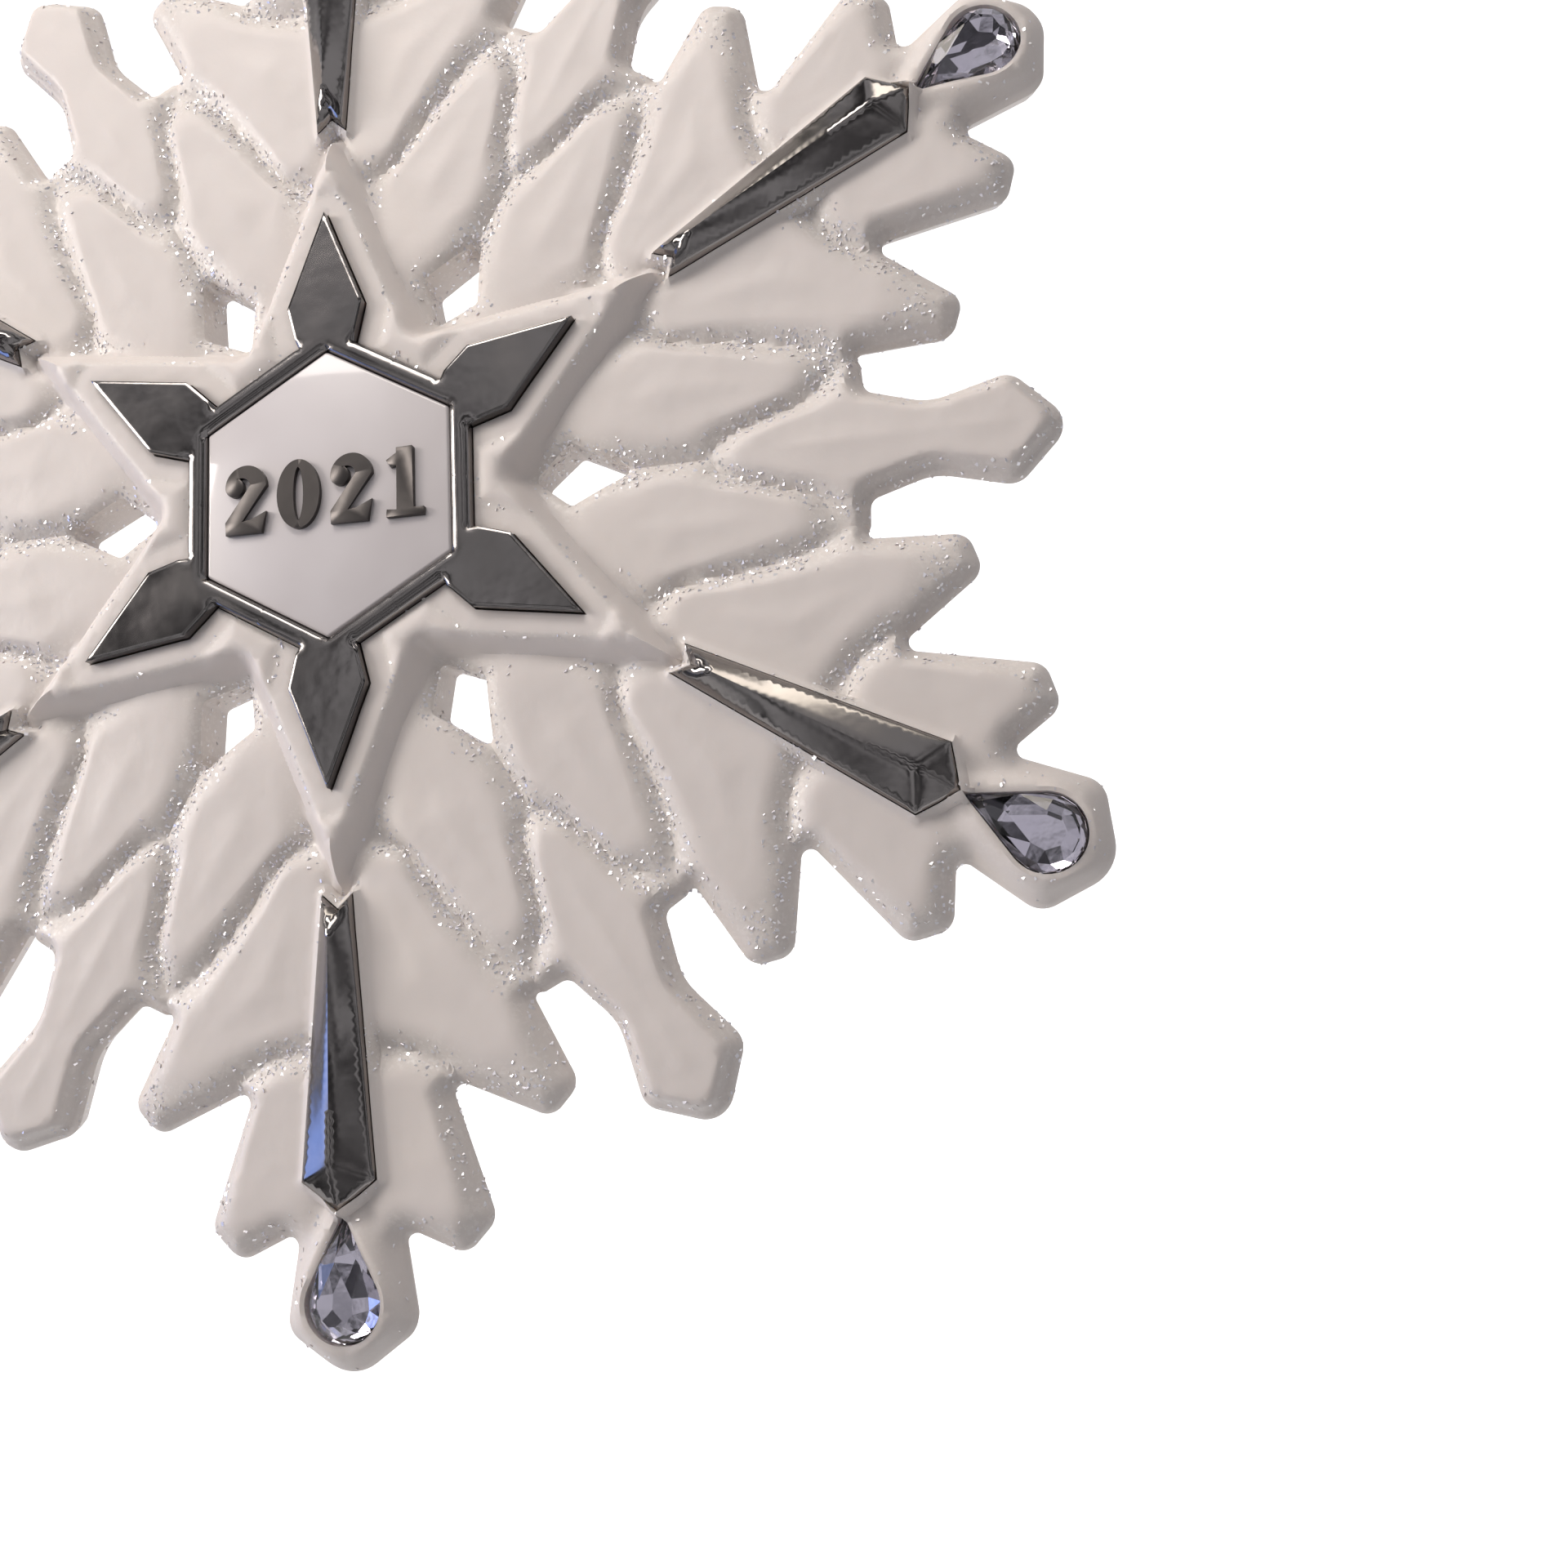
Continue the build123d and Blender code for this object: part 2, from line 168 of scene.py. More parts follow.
def signed_distance(points, loops):
    """Distance from each point to the nearest of some closed outlines, positive inside them."""
    starts = np.vstack(loops)
    along = np.vstack([np.roll(loop, -1, 0) for loop in loops]) - starts
    length = np.maximum((along ** 2).sum(1), 1e-12)
    found = []
    for some in np.array_split(points, len(points) // AT_ONCE + 1):
        away = some[:, None] - starts
        share = np.clip((away * along).sum(2) / length, 0, 1)
        near = np.sqrt(((away - share[..., None] * along) ** 2).sum(2).min(1))
        above = starts[:, 1] > some[:, 1:2]
        ends_above = starts[:, 1] + along[:, 1] > some[:, 1:2]
        rise = np.where(along[:, 1] == 0, 1e-12, along[:, 1])
        left = away[..., 0] < along[:, 0] * away[..., 1] / rise
        inside = ((above != ends_above) & left).sum(1) % 2 == 1
        found.append(np.where(inside, near, -near))
    return np.concatenate(found)


# ---------------------------------------------------------------- flat shapes


def ease(value, low, high):
    """A smooth step from 0 at the low value to 1 at the high one."""
    share = np.clip((value - low) / (high - low), 0, 1)
    return share * share * (3 - 2 * share)


def rounded(depth, radius):
    """The height of a quarter-round edge, from 0 at the edge to 1 a radius further in."""
    share = np.clip(depth / radius, 0, 1)
    return np.sqrt(1 - (1 - share) ** 2)


def resampled(loop, step, close=True):
    """An outline with points added so that none of its steps is longer than one length."""
    ends = np.roll(loop, -1, 0) if close else loop[1:]
    starts = loop if close else loop[:-1]
    found = []
    for start, end in zip(starts, ends):
        count = max(1, int(np.ceil(np.linalg.norm(end - start) / step)))
        found += [start + (end - start) * k / count for k in range(count)]
    if not close:
        found.append(loop[-1])
    return np.array(found)


def cut_run(run, normal):
    """The stretches of a run of points on the inner side of a line through the centre."""
    normal = np.array(normal)
    side = run @ normal
    side[np.abs(side) < WELD] = 0
    found, part = [], []
    for k, point in enumerate(run):
        if k and (side[k] >= 0) != (side[k - 1] >= 0):
            share = side[k - 1] / (side[k - 1] - side[k])
            crossing = run[k - 1] + share * (point - run[k - 1])
            part.append(crossing - normal * (crossing @ normal))
            if side[k] < 0:
                found.append(np.array(part))
                part = []
        if side[k] > 0:
            part.append(point)
        elif side[k] == 0:
            part.append(point - normal * (point @ normal))
    found.append(np.array(part))
    return [without_repeats(p) for p in found if len(p) > 1]


def without_repeats(run):
    """A run without the points that lie on the one before."""
    keep = [True] + [bool(np.linalg.norm(b - a) > WELD) for a, b in zip(run, run[1:])]
    return run[keep]


def clipped(loop, sides):
    """The stretches of a closed outline inside a sector, or the whole outline where no side cuts it."""
    inside = np.min([loop @ np.array(n) for n in sides], 0)
    first = int(inside.argmin())
    runs = [np.vstack([np.roll(loop, -first, 0), loop[first]])]
    for normal in sides:
        runs = [part for run in runs for part in cut_run(run, normal)]
    return [run for run in runs if len(run) > 1]


def shifted(run, amount, sides):
    """A run moved to its left, with its ends kept on the sides of the sector."""
    steps = np.diff(run, axis=0)
    steps /= np.linalg.norm(steps, axis=1)[:, None]
    closed = np.linalg.norm(run[0] - run[-1]) < WELD
    before = np.vstack([steps[-1] if closed else steps[0], steps])
    after = np.vstack([steps, steps[0] if closed else steps[-1]])
    tangent = before + after
    tangent /= np.maximum(np.linalg.norm(tangent, axis=1), 1e-9)[:, None]
    mitre = 1 / np.maximum((tangent * after).sum(1), 0.5)
    moved = run + np.column_stack([-tangent[:, 1], tangent[:, 0]]) * (amount * mitre)[:, None]
    for normal in map(np.array, sides):
        for end in (0, -1):
            if abs(run[end] @ normal) < WELD:
                moved[end] -= normal * (moved[end] @ normal)
    return moved


class Plan:
    """Points and fixed edges of a flat sector, gathered before it is filled with triangles."""

    def __init__(self, sides, edges, spacing):
        self.sides = sides
        self.edges = edges
        self.spacing = spacing
        self.points = []
        self.links = []
        self.cells = {}

    def add(self, point):
        """Keep a point whatever lies near it."""
        self.points.append(point)
        cell = tuple(np.floor(point / self.spacing).astype(int))
        self.cells.setdefault(cell, []).append(point)
        return len(self.points) - 1

    def is_clear(self, point, gap):
        """Whether no kept point lies within a gap of this one."""
        x, y = np.floor(point / self.spacing).astype(int)
        around = [(x + i, y + j) for i in (-1, 0, 1) for j in (-1, 0, 1)]
        near = [p for cell in around for p in self.cells.get(cell, [])]
        return not near or np.min(np.sum((np.array(near) - point) ** 2, 1)) > gap * gap

    def add_run(self, run):
        """Keep a run of points and the edges along it."""
        numbers = [self.add(p) for p in run]
        self.links += list(zip(numbers, numbers[1:]))

    def add_loose(self, points, gap):
        """Keep the points that lie inside the outlines, away from the sides and from other points."""
        points = np.array(points)
        inside = signed_distance(points, self.edges) > gap / 2
        for normal in self.sides:
            inside &= points @ np.array(normal) > gap / 2
        for point in points[inside]:
            if self.is_clear(point, gap):
                self.add(point)

    def add_side(self, normal, step):
        """Fix the side of the sector, through every kept point that lies on it."""
        normal = np.array(normal)
        ahead = np.array([normal[1], -normal[0]])
        if ahead[1] < 0:
            ahead = -ahead
        every = np.array(self.points)
        on_side = np.abs(every @ normal) < WELD
        numbers = [(float(every[i] @ ahead), i) for i in np.flatnonzero(on_side)]
        span = np.vstack(self.edges) @ ahead
        lowest = max(span.min(), 0) if len(self.sides) > 1 else span.min()
        for reach in np.arange(lowest, span.max(), step):
            point = ahead * reach
            if not numbers or min(abs(reach - r) for r, i in numbers) > step / 3:
                if signed_distance(point[None], self.edges)[0] > 0:
                    numbers.append((reach, self.add(point)))
        numbers.sort()
        for (low, a), (high, b) in zip(numbers, numbers[1:]):
            middle = ahead * (low + high) / 2
            if signed_distance(middle[None], self.edges)[0] > 0:
                self.links.append((a, b))

    def add_grid(self, step, gap):
        """Fill what is left with an even triangular grid."""
        low, high = np.vstack(self.edges).min(0), np.vstack(self.edges).max(0)
        rows = np.arange(low[1], high[1], step * sqrt(3) / 2)
        across = np.arange(low[0], high[0], step)
        grid = [(x + (k % 2) * step / 2, y) for k, y in enumerate(rows) for x in across]
        points = np.array(grid)
        for normal in self.sides:
            points = points[points @ np.array(normal) > 0]
        self.add_loose(points, gap)

    def triangles(self):
        """The triangles inside the outlines, anticlockwise, and their corner points."""
        given = [Vector(p) for p in self.points]
        verts, _, faces, origins, _, _ = delaunay_2d_cdt(given, self.links, [], 0, JOINING)
        points = np.array([self.points[o[0]] if o else v[:] for v, o in zip(verts, origins)])
        faces = np.array(faces)
        a, b, c = points[faces[:, 0]], points[faces[:, 1]], points[faces[:, 2]]
        area = (b - a)[:, 0] * (c - a)[:, 1] - (b - a)[:, 1] * (c - a)[:, 0]
        faces[area < 0] = faces[area < 0][:, ::-1]
        middle = (a + b + c) / 3
        keep = (np.abs(area) > SLIVER) & (signed_distance(middle, self.edges) > 0)
        for normal in self.sides:
            keep &= middle @ np.array(normal) > 0
        return points, faces[keep]


def add_rows(plan, rows, step):
    """Strew points along lines that follow some outlines at some distances inside them."""
    for loops, offsets in rows:
        for offset in offsets:
            for loop in loops:
                for run in clipped(resampled(loop, step), plan.sides):
                    line = shifted(run, offset, plan.sides)
                    true = np.abs(signed_distance(line, loops) - offset) < 0.1 * step
                    if true.any():
                        plan.add_loose(line[true], step / 3)


def sector_shell(sides, edges, top, bottom, step, grid, rows=(), back_rows=(), walls=(), coarse=1.5):
    """A closed surface over one sector: its front and back at given heights, and the walls between them.

    Rows are (outlines, offsets) that lines of points follow, and walls are outlines where the front drops.
    """
    runs = [run for loop in edges for run in clipped(resampled(loop, step), sides)]
    front = Plan(sides, edges, grid)
    back = Plan(sides, edges, coarse)
    for run in runs:
        front.add_run(run)
        back.add_run(run)
    for loop in walls:
        for run in clipped(resampled(loop, step), sides):
            front.add_run(shifted(run, WALL_STEP, sides))
            front.add_run(shifted(run, -WALL_STEP, sides))
    for normal in sides:
        front.add_side(normal, step)
        back.add_side(normal, coarse)
    add_rows(front, rows, step)
    add_rows(back, back_rows, step)
    front.add_grid(grid, grid / 2)
    back.add_grid(coarse, coarse / 2)
    flat_front, front_faces = front.triangles()
    flat_back, back_faces = back.triangles()
    points = [np.column_stack([flat_front, top(flat_front)])]
    points.append(np.column_stack([flat_back, bottom(flat_back)]))
    faces = [front_faces, back_faces[:, ::-1] + len(flat_front)]
    count = len(flat_front) + len(flat_back)
    for run in runs:
        high, low = top(run), bottom(run)
        points.append(np.vstack([np.column_stack([run, low]), np.column_stack([run, high])]))
        size = len(run)
        for k in range(size - 1):
            a, b = count + k, count + k + 1
            if high[k] - low[k] > WELD or high[k + 1] - low[k + 1] > WELD:
                faces.append(np.array([[a, b, b + size], [a, b + size, a + size]]))
        count += 2 * size
    return np.vstack(points), np.vstack(faces)


def with_mirror(points, faces):
    """A shell and its mirror image across the arm."""
    return np.vstack([points, points * [-1, 1, 1]]), np.vstack([faces, faces[:, ::-1] + len(points)])


def turned(points, turn):
    """Points turned clockwise about the centre, in radians."""
    c, s = cos(turn), sin(turn)
    x, y, height = points.T
    return np.column_stack([x * c + y * s, y * c - x * s, height])


def all_round(points, faces):
    """A shell repeated on every arm."""
    copies = [turned(points, 2 * HALF_SECTOR * k) for k in range(ARMS)]
    return np.vstack(copies), np.vstack([faces + len(points) * k for k in range(ARMS)])


def piece(name, points, faces, finish, sharp=35.0, mica=None):
    """An object from points laid flat in mm: welded, stood up, and smooth but for its sharp edges."""
    mesh = bpy.data.meshes.new(name)
    mesh.from_pydata([tuple(p) for p in points], [], [tuple(int(i) for i in f) for f in faces])
    if mica is not None:
        layer = mesh.attributes.new("mica", "FLOAT", "POINT")
        layer.data.foreach_set("value", mica.astype(np.float32))
    bm = bmesh.new()
    bm.from_mesh(mesh)
    bmesh.ops.remove_doubles(bm, verts=bm.verts, dist=5 * WELD)
    bm.to_mesh(mesh)
    bm.free()
    mesh.transform(STAND)
    mesh.update()
    mesh.validate()
    return finished(name, mesh, finish, sharp)


def finished(name, mesh, finish, sharp=35.0):
    """An object for a mesh that is already in place, with its finish and its smooth shading."""
    mesh.shade_smooth()
    mesh.set_sharp_from_angle(angle=radians(sharp))
    mesh.materials.clear()
    mesh.materials.append(finish)
    made = bpy.data.objects.new(name, mesh)
    bpy.context.scene.collection.objects.link(made)
    return made


def bevelled_copy(name, node, finish, width, segments=3, sharp=50.0, swell=0.0):
    """A CAD node's own shape with its edges softened and its upright sides moved out, in mm."""
    bm = laid_flat(node)
    upright, corner_limit = 0.5, 0.4
    moves = {}
    for vert in bm.verts:
        walls = [f.normal for f in vert.link_faces if abs(f.normal.z) < upright]
        if swell and walls:
            mean = sum(walls, Vector()) / len(walls)
            moves[vert] = mean * swell / max(mean.length_squared, corner_limit)
    for vert, move in moves.items():
        vert.co += move
    bmesh.ops.dissolve_limit(bm, angle_limit=FLAT_TURN, verts=bm.verts, edges=bm.edges)
    crisp = [e for e in bm.edges if len(e.link_faces) == 2 and e.calc_face_angle(0) > CRISP_TURN]
    bmesh.ops.bevel(
        bm, geom=crisp, offset=width, segments=segments, profile=0.5, affect="EDGES", clamp_overlap=True,
    )
    bmesh.ops.triangulate(bm, faces=bm.faces)
    bm.transform(STAND)
    mesh = bpy.data.meshes.new(name)
    bm.to_mesh(mesh)
    bm.free()
    return finished(name, mesh, finish, sharp)


# ---------------------------------------------------------------- finishes

# A Mix node's sockets share their names, so those for colours and those for numbers go by their places
COLOUR_A, COLOUR_B, COLOUR_OUT = 6, 7, 2
NUMBER_A, NUMBER_B, NUMBER_OUT = 2, 3, 0


def fill(tree, node, inputs):
    """Fill some of a node's sockets with values, or with links from other sockets."""
    for key, value in inputs.items():
        if isinstance(value, bpy.types.NodeSocket):
            tree.links.new(value, node.inputs[key])
        else:
            node.inputs[key].default_value = value


def add_node(tree, kind, inputs=None, **settings):
    """Add a node with its settings and its sockets filled."""
    made = tree.nodes.new(kind)
    for key, value in settings.items():
        setattr(made, key, value)
    fill(tree, made, inputs or {})
    return made


def new_finish(name):
    """An empty material, its tree, its Object coordinates and its shader."""
    finish = bpy.data.materials.new(name)
    finish.use_nodes = True
    tree = finish.node_tree
    tree.nodes.clear()
    place = add_node(tree, "ShaderNodeTexCoord").outputs["Object"]
    shader = add_node(tree, "ShaderNodeBsdfPrincipled")
    add_node(tree, "ShaderNodeOutputMaterial", {"Surface": shader.outputs["BSDF"]})
    return finish, tree, place, shader


def per(size):
    """The scale of a texture whose cells are a size in mm."""
    return 1 / (size * MM)


def opaque(colour):
    """A linear colour with nothing showing through it."""
    return (*colour, 1)


def bisque_porcelain(look):
    """Unglazed porcelain, slip cast and rubbed smooth: a warm satin white, grainy where mica lies."""
    finish, tree, place, shader = new_finish("bisque_porcelain")
    mica = add_node(tree, "ShaderNodeAttribute", attribute_name="mica").outputs["Fac"]
    # Firing leaves slow drifts of tone, a few millimetres across
    drift = add_node(tree, "ShaderNodeTexNoise", {"Vector": place, "Scale": per(9), "Detail": 3.0})
    body = add_node(
        tree, "ShaderNodeMix",
        {
            "Factor": drift.outputs["Fac"],
            COLOUR_A: opaque(look.porcelain),
            COLOUR_B: opaque(look.porcelain_shade),
        },
        data_type="RGBA",
    )
    # Mica powder stuck in the hollows, drawn at twice its real 0.1 mm so that it shows
    grains = add_node(tree, "ShaderNodeTexVoronoi", {"Vector": place, "Scale": per(0.2)})
    pick = add_node(tree, "ShaderNodeSeparateColor", {"Color": grains.outputs["Color"]})
    bright = add_node(
        tree, "ShaderNodeMapRange",
        {"Value": pick.outputs["Red"], "From Min": 0.6, "From Max": 1.0, "To Min": 0.0, "To Max": 0.6},
    )
    strewn = add_node(
        tree, "ShaderNodeMath", {0: bright.outputs["Result"], 1: mica}, operation="MULTIPLY",
    )
    powder = add_node(
        tree, "ShaderNodeMix",
        {"Factor": mica, COLOUR_A: body.outputs[COLOUR_OUT], COLOUR_B: opaque(look.mica_bed)},
        data_type="RGBA",
    )
    colour = add_node(
        tree, "ShaderNodeMix",
        {
            "Factor": strewn.outputs[0],
            COLOUR_A: powder.outputs[COLOUR_OUT],
            COLOUR_B: opaque(srgb("#EFE9E4")),
        },
        data_type="RGBA",
    )
    rough = add_node(
        tree, "ShaderNodeMapRange",
        {"Value": strewn.outputs[0], "From Min": 0.0, "From Max": 0.6, "To Min": 0.46, "To Max": 0.28},
    )
    # Eggshell grain of the fired surface, with the crust of powder on top of it
    skin = add_node(tree, "ShaderNodeTexNoise", {"Vector": place, "Scale": per(0.7), "Detail": 4.0})
    crust = add_node(tree, "ShaderNodeMath", {0: mica, 1: 0.5}, operation="MULTIPLY")
    grain = add_node(
        tree, "ShaderNodeMath", {0: pick.outputs["Green"], 1: crust.outputs[0]}, operation="MULTIPLY",
    )
    relief = add_node(
        tree, "ShaderNodeMath", {0: skin.outputs["Fac"], 1: grain.outputs[0]}, operation="ADD",
    )
    bump = add_node(
        tree, "ShaderNodeBump", {"Strength": 0.35, "Distance": 0.05 * MM, "Height": relief.outputs[0]},
    )
    fill(tree, shader, {
        "Base Color": colour.outputs[COLOUR_OUT],
        "Roughness": rough.outputs["Result"],
        "IOR": 1.5,
        "Subsurface Weight": 0.12,
        "Subsurface Radius": (1.0, 0.75, 0.6),
        "Subsurface Scale": 0.8 * MM,
        "Normal": bump.outputs["Normal"],
    })
    return finish


def glazed_porcelain(look):
    """Clear-glazed porcelain: wet, even gloss over a pinkish white, with the glaze's slow ripple."""
    finish, tree, place, shader = new_finish("glazed_porcelain")
    drift = add_node(tree, "ShaderNodeTexNoise", {"Vector": place, "Scale": per(6), "Detail": 2.0})
    colour = add_node(
        tree, "ShaderNodeMix",
        {"Factor": drift.outputs["Fac"], COLOUR_A: opaque(look.tile), COLOUR_B: opaque(srgb("#CFC8C8"))},
        data_type="RGBA",
    )
    ripple = add_node(tree, "ShaderNodeTexNoise", {"Vector": place, "Scale": per(3.5), "Detail": 1.0})
    bump = add_node(
        tree, "ShaderNodeBump",
        {"Strength": 0.25, "Distance": 0.05 * MM, "Height": ripple.outputs["Fac"]},
    )
    fill(tree, shader, {
        "Base Color": colour.outputs[COLOUR_OUT],
        "Roughness": 0.3,
        "Coat Weight": 1.0,
        "Coat Roughness": 0.05,
        "Coat IOR": 1.5,
        "Normal": bump.outputs["Normal"],
        "Coat Normal": bump.outputs["Normal"],
    })
    return finish


def hazy_metal(name, tone, haze):
    """A metal whose shine is hazier in some places than in others, on a face that waves a little."""
    finish, tree, place, shader = new_finish(name)
    # Handling leaves clouds of haze, a few millimetres across, in which the metal is a little darker too
    cloud = add_node(tree, "ShaderNodeTexNoise", {"Vector": place, "Scale": per(4), "Detail": 4.0})
    clearest, haziest = haze
    rough = add_node(
        tree, "ShaderNodeMapRange",
        {
            "Value": cloud.outputs["Fac"],
            "From Min": 0.3,
            "From Max": 0.7,
            "To Min": clearest,
            "To Max": haziest,
        },
    )
    dull = add_node(
        tree, "ShaderNodeMix",
        {"Factor": cloud.outputs["Fac"], COLOUR_A: opaque(tone), COLOUR_B: opaque([0.78 * c for c in tone])},
        data_type="RGBA",
    )
    # Casting and rubbing down leave the waves, and small pits remain between them
    wave = add_node(tree, "ShaderNodeTexNoise", {"Vector": place, "Scale": per(2.2), "Detail": 2.0})
    pits = add_node(tree, "ShaderNodeTexNoise", {"Vector": place, "Scale": per(0.35), "Detail": 2.0})
    pitted = add_node(
        tree, "ShaderNodeMath",
        {0: pits.outputs["Fac"], 1: 0.04, 2: wave.outputs["Fac"]}, operation="MULTIPLY_ADD",
    )
    bump = add_node(
        tree, "ShaderNodeBump", {"Strength": 0.3, "Distance": 0.12 * MM, "Height": pitted.outputs[0]},
    )
    fill(tree, shader, {
        "Base Color": dull.outputs[COLOUR_OUT],
        "Metallic": 1.0,
        "Roughness": rough.outputs["Result"],
        "Normal": bump.outputs["Normal"],
    })
    return finish


def polished_silver(look):
    """Cast silver, polished by hand: a dim mirror with fine hazy wear, its colour kept dark as painted shade
    for the dark room that it mirrors.
    """
    return hazy_metal("polished_silver", look.silver, (0.1, 0.24))


def dark_silver_lustre(look):
    """Silver lustre, fired dark on the numerals: a satin that only blurs what it mirrors."""
    return hazy_metal("dark_silver_lustre", look.lustre, (0.32, 0.46))


def polished_steel(look):
    """Drawn steel wire, bent and polished: a brighter mirror than the silver, with the same faint haze."""
    return hazy_metal("polished_steel", look.steel, (0.1, 0.24))


def cut_crystal(look):
    """Lead crystal, cut and polished: clear and bright, with sharp facets and a faint violet tint."""
    finish, tree, place, shader = new_finish("cut_crystal")
    cloud = add_node(tree, "ShaderNodeTexNoise", {"Vector": place, "Scale": per(2.5), "Detail": 1.0})
    tint = add_node(
        tree, "ShaderNodeMix",
        {
            "Factor": cloud.outputs["Fac"],
            COLOUR_A: opaque(look.crystal),
            COLOUR_B: opaque(srgb("#E6E2F2")),
        },
        data_type="RGBA",
    )
    fill(tree, shader, {
        "Base Color": tint.outputs[COLOUR_OUT],
        "Roughness": 0.0,
        "IOR": 1.58,
        "Transmission Weight": 1.0,
    })
    return finish


def mirror_foil(look):
    """Vacuum-silvered foil behind a stone: a bright hard mirror, a little crinkled."""
    finish, tree, place, shader = new_finish("mirror_foil")
    crinkle = add_node(tree, "ShaderNodeTexNoise", {"Vector": place, "Scale": per(0.8), "Detail": 2.0})
    bump = add_node(
        tree, "ShaderNodeBump",
        {"Strength": 0.15, "Distance": 0.03 * MM, "Height": crinkle.outputs["Fac"]},
    )
    fill(tree, shader, {
        "Base Color": opaque(look.foil),
        "Metallic": 1.0,
        "Roughness": 0.06,
        "Normal": bump.outputs["Normal"],
    })
    return finish


def mica_flake(look):
    """Mica, split into thin flakes: pearly little mirrors that catch the light one by one."""
    finish, tree, place, shader = new_finish("mica_flake")
    spread = add_node(tree, "ShaderNodeTexNoise", {"Vector": place, "Scale": per(0.6), "Detail": 0.0})
    tint = add_node(
        tree, "ShaderNodeMix",
        {"Factor": spread.outputs["Fac"], COLOUR_A: opaque(look.mica), COLOUR_B: opaque(srgb("#E9E6F4"))},
        data_type="RGBA",
    )
    fill(tree, shader, {
        "Base Color": tint.outputs[COLOUR_OUT],
        "Metallic": 0.45,
        "Roughness": 0.28,
        "Coat Weight": 0.6,
        "Coat Roughness": 0.05,
    })
    return finish


def matt_paper(look):
    """Seamless studio paper: an even, matt near-white with a hardly visible tooth."""
    finish, tree, place, shader = new_finish("matt_paper")
    tooth = add_node(tree, "ShaderNodeTexNoise", {"Vector": place, "Scale": per(6), "Detail": 2.0})
    colour = add_node(
        tree, "ShaderNodeMix",
        {"Factor": tooth.outputs["Fac"], COLOUR_A: opaque(look.paper), COLOUR_B: opaque(srgb("#FDFDFD"))},
        data_type="RGBA",
    )
    # Lit evenly for the camera, without flooding the porcelain in front of it
    seen = add_node(tree, "ShaderNodeLightPath").outputs["Is Camera Ray"]
    glow = add_node(tree, "ShaderNodeMix", {"Factor": seen, NUMBER_A: 0.3, NUMBER_B: 0.9})
    fill(tree, shader, {
        "Base Color": colour.outputs[COLOUR_OUT],
        "Roughness": 0.9,
        "Emission Color": (1, 1, 1, 1),
        "Emission Strength": glow.outputs[NUMBER_OUT],
    })
    return finish


# ---------------------------------------------------------------- porcelain

BODY = "porcelain_body"

# Heights of the body's level faces, and outlines of its shapes seen from the front
SPEAR_FLOOR, CRYSTAL_FLOOR, TILE_FLOOR, RIM, LEAF, RECESS, STAR = levels(BODY)
BACK_LOOPS = outlines(BODY, 0.0, -1)
RIM_LOOP = [loop for loop in BACK_LOOPS if area_of(loop) > 0]
WINDOW_LOOPS = [loop for loop in BACK_LOOPS if area_of(loop) < 0]
LEAF_LOOPS = outlines(BODY, LEAF)
STAR_LOOP = [max(outlines(BODY, STAR), key=area_of)]
BED_LOOPS = outlines(BODY, RECESS)
SPEAR_LOOPS = outlines(BODY, SPEAR_FLOOR)
CRYSTAL_LOOPS = outlines(BODY, CRYSTAL_FLOOR)
CENTRE_LOOP = [max(outlines(BODY, TILE_FLOOR), key=area_of)]
POCKETS = [(SPEAR_LOOPS, SPEAR_FLOOR), (CRYSTAL_LOOPS, CRYSTAL_FLOOR), (CENTRE_LOOP, TILE_FLOOR)]

# Leaves in the sector that is drawn or just beside it, told by their angle from its middle
NEARBY = 1.6 * HALF_SECTOR
NEAR_LEAVES = [loop for loop in LEAF_LOOPS if abs(atan2(*loop.mean(0)) - HALF_SECTOR / 2) < NEARBY]

# Width in mm of the level brim beside a crystal, inside the slope of its mound
SETTING_BRIM = 0.1
# Distances in mm over which mica thins out: in from the rim, away from a crystal, and beside a bed
RIM_FADE = (0.3, 1.8)
SETTING_FADE = (1.5, 3)
BED_FADE = (-0.5, -0.2)
# Shares of mica that stay at the rim, are missing beside a crystal, and line a bed
RIM_MICA = 0.5
SETTING_BARE = 0.7
BED_MICA = 0.6


def leaf_share(points, look):
    """How far up a leaf a point lies: 1 on its top, 0 on the rim and halfway to the next leaf."""
    away = np.array([np.maximum(-signed_distance(points, [loop]), 0) for loop in NEAR_LEAVES])
    away.sort(0)
    nearest, second = away[0], away[1]
    between = (second - nearest) / (second + nearest + WELD)
    edge = np.maximum(signed_distance(points, RIM_LOOP) - look.rim_flat, 0)
    to_rim = edge / (edge + look.rim_pull * nearest + WELD)
    return np.clip(np.minimum(between, to_rim) / look.leaf_spread, 0, 1)


def relief_above_rim(points, look):
    """How far the leaves and the star rise above the rim plate."""
    depth = np.maximum(signed_distance(points, LEAF_LOOPS), 0)
    rise = look.leaf_rise * np.sin(leaf_share(points, look) * pi / 2)
    rise += look.leaf_crown * ease(depth, 0, look.leaf_round)
    star = signed_distance(points, STAR_LOOP)
    raised = (STAR - RIM) * ease(star, -look.star_side, look.star_round)
    return np.maximum(rise, raised)


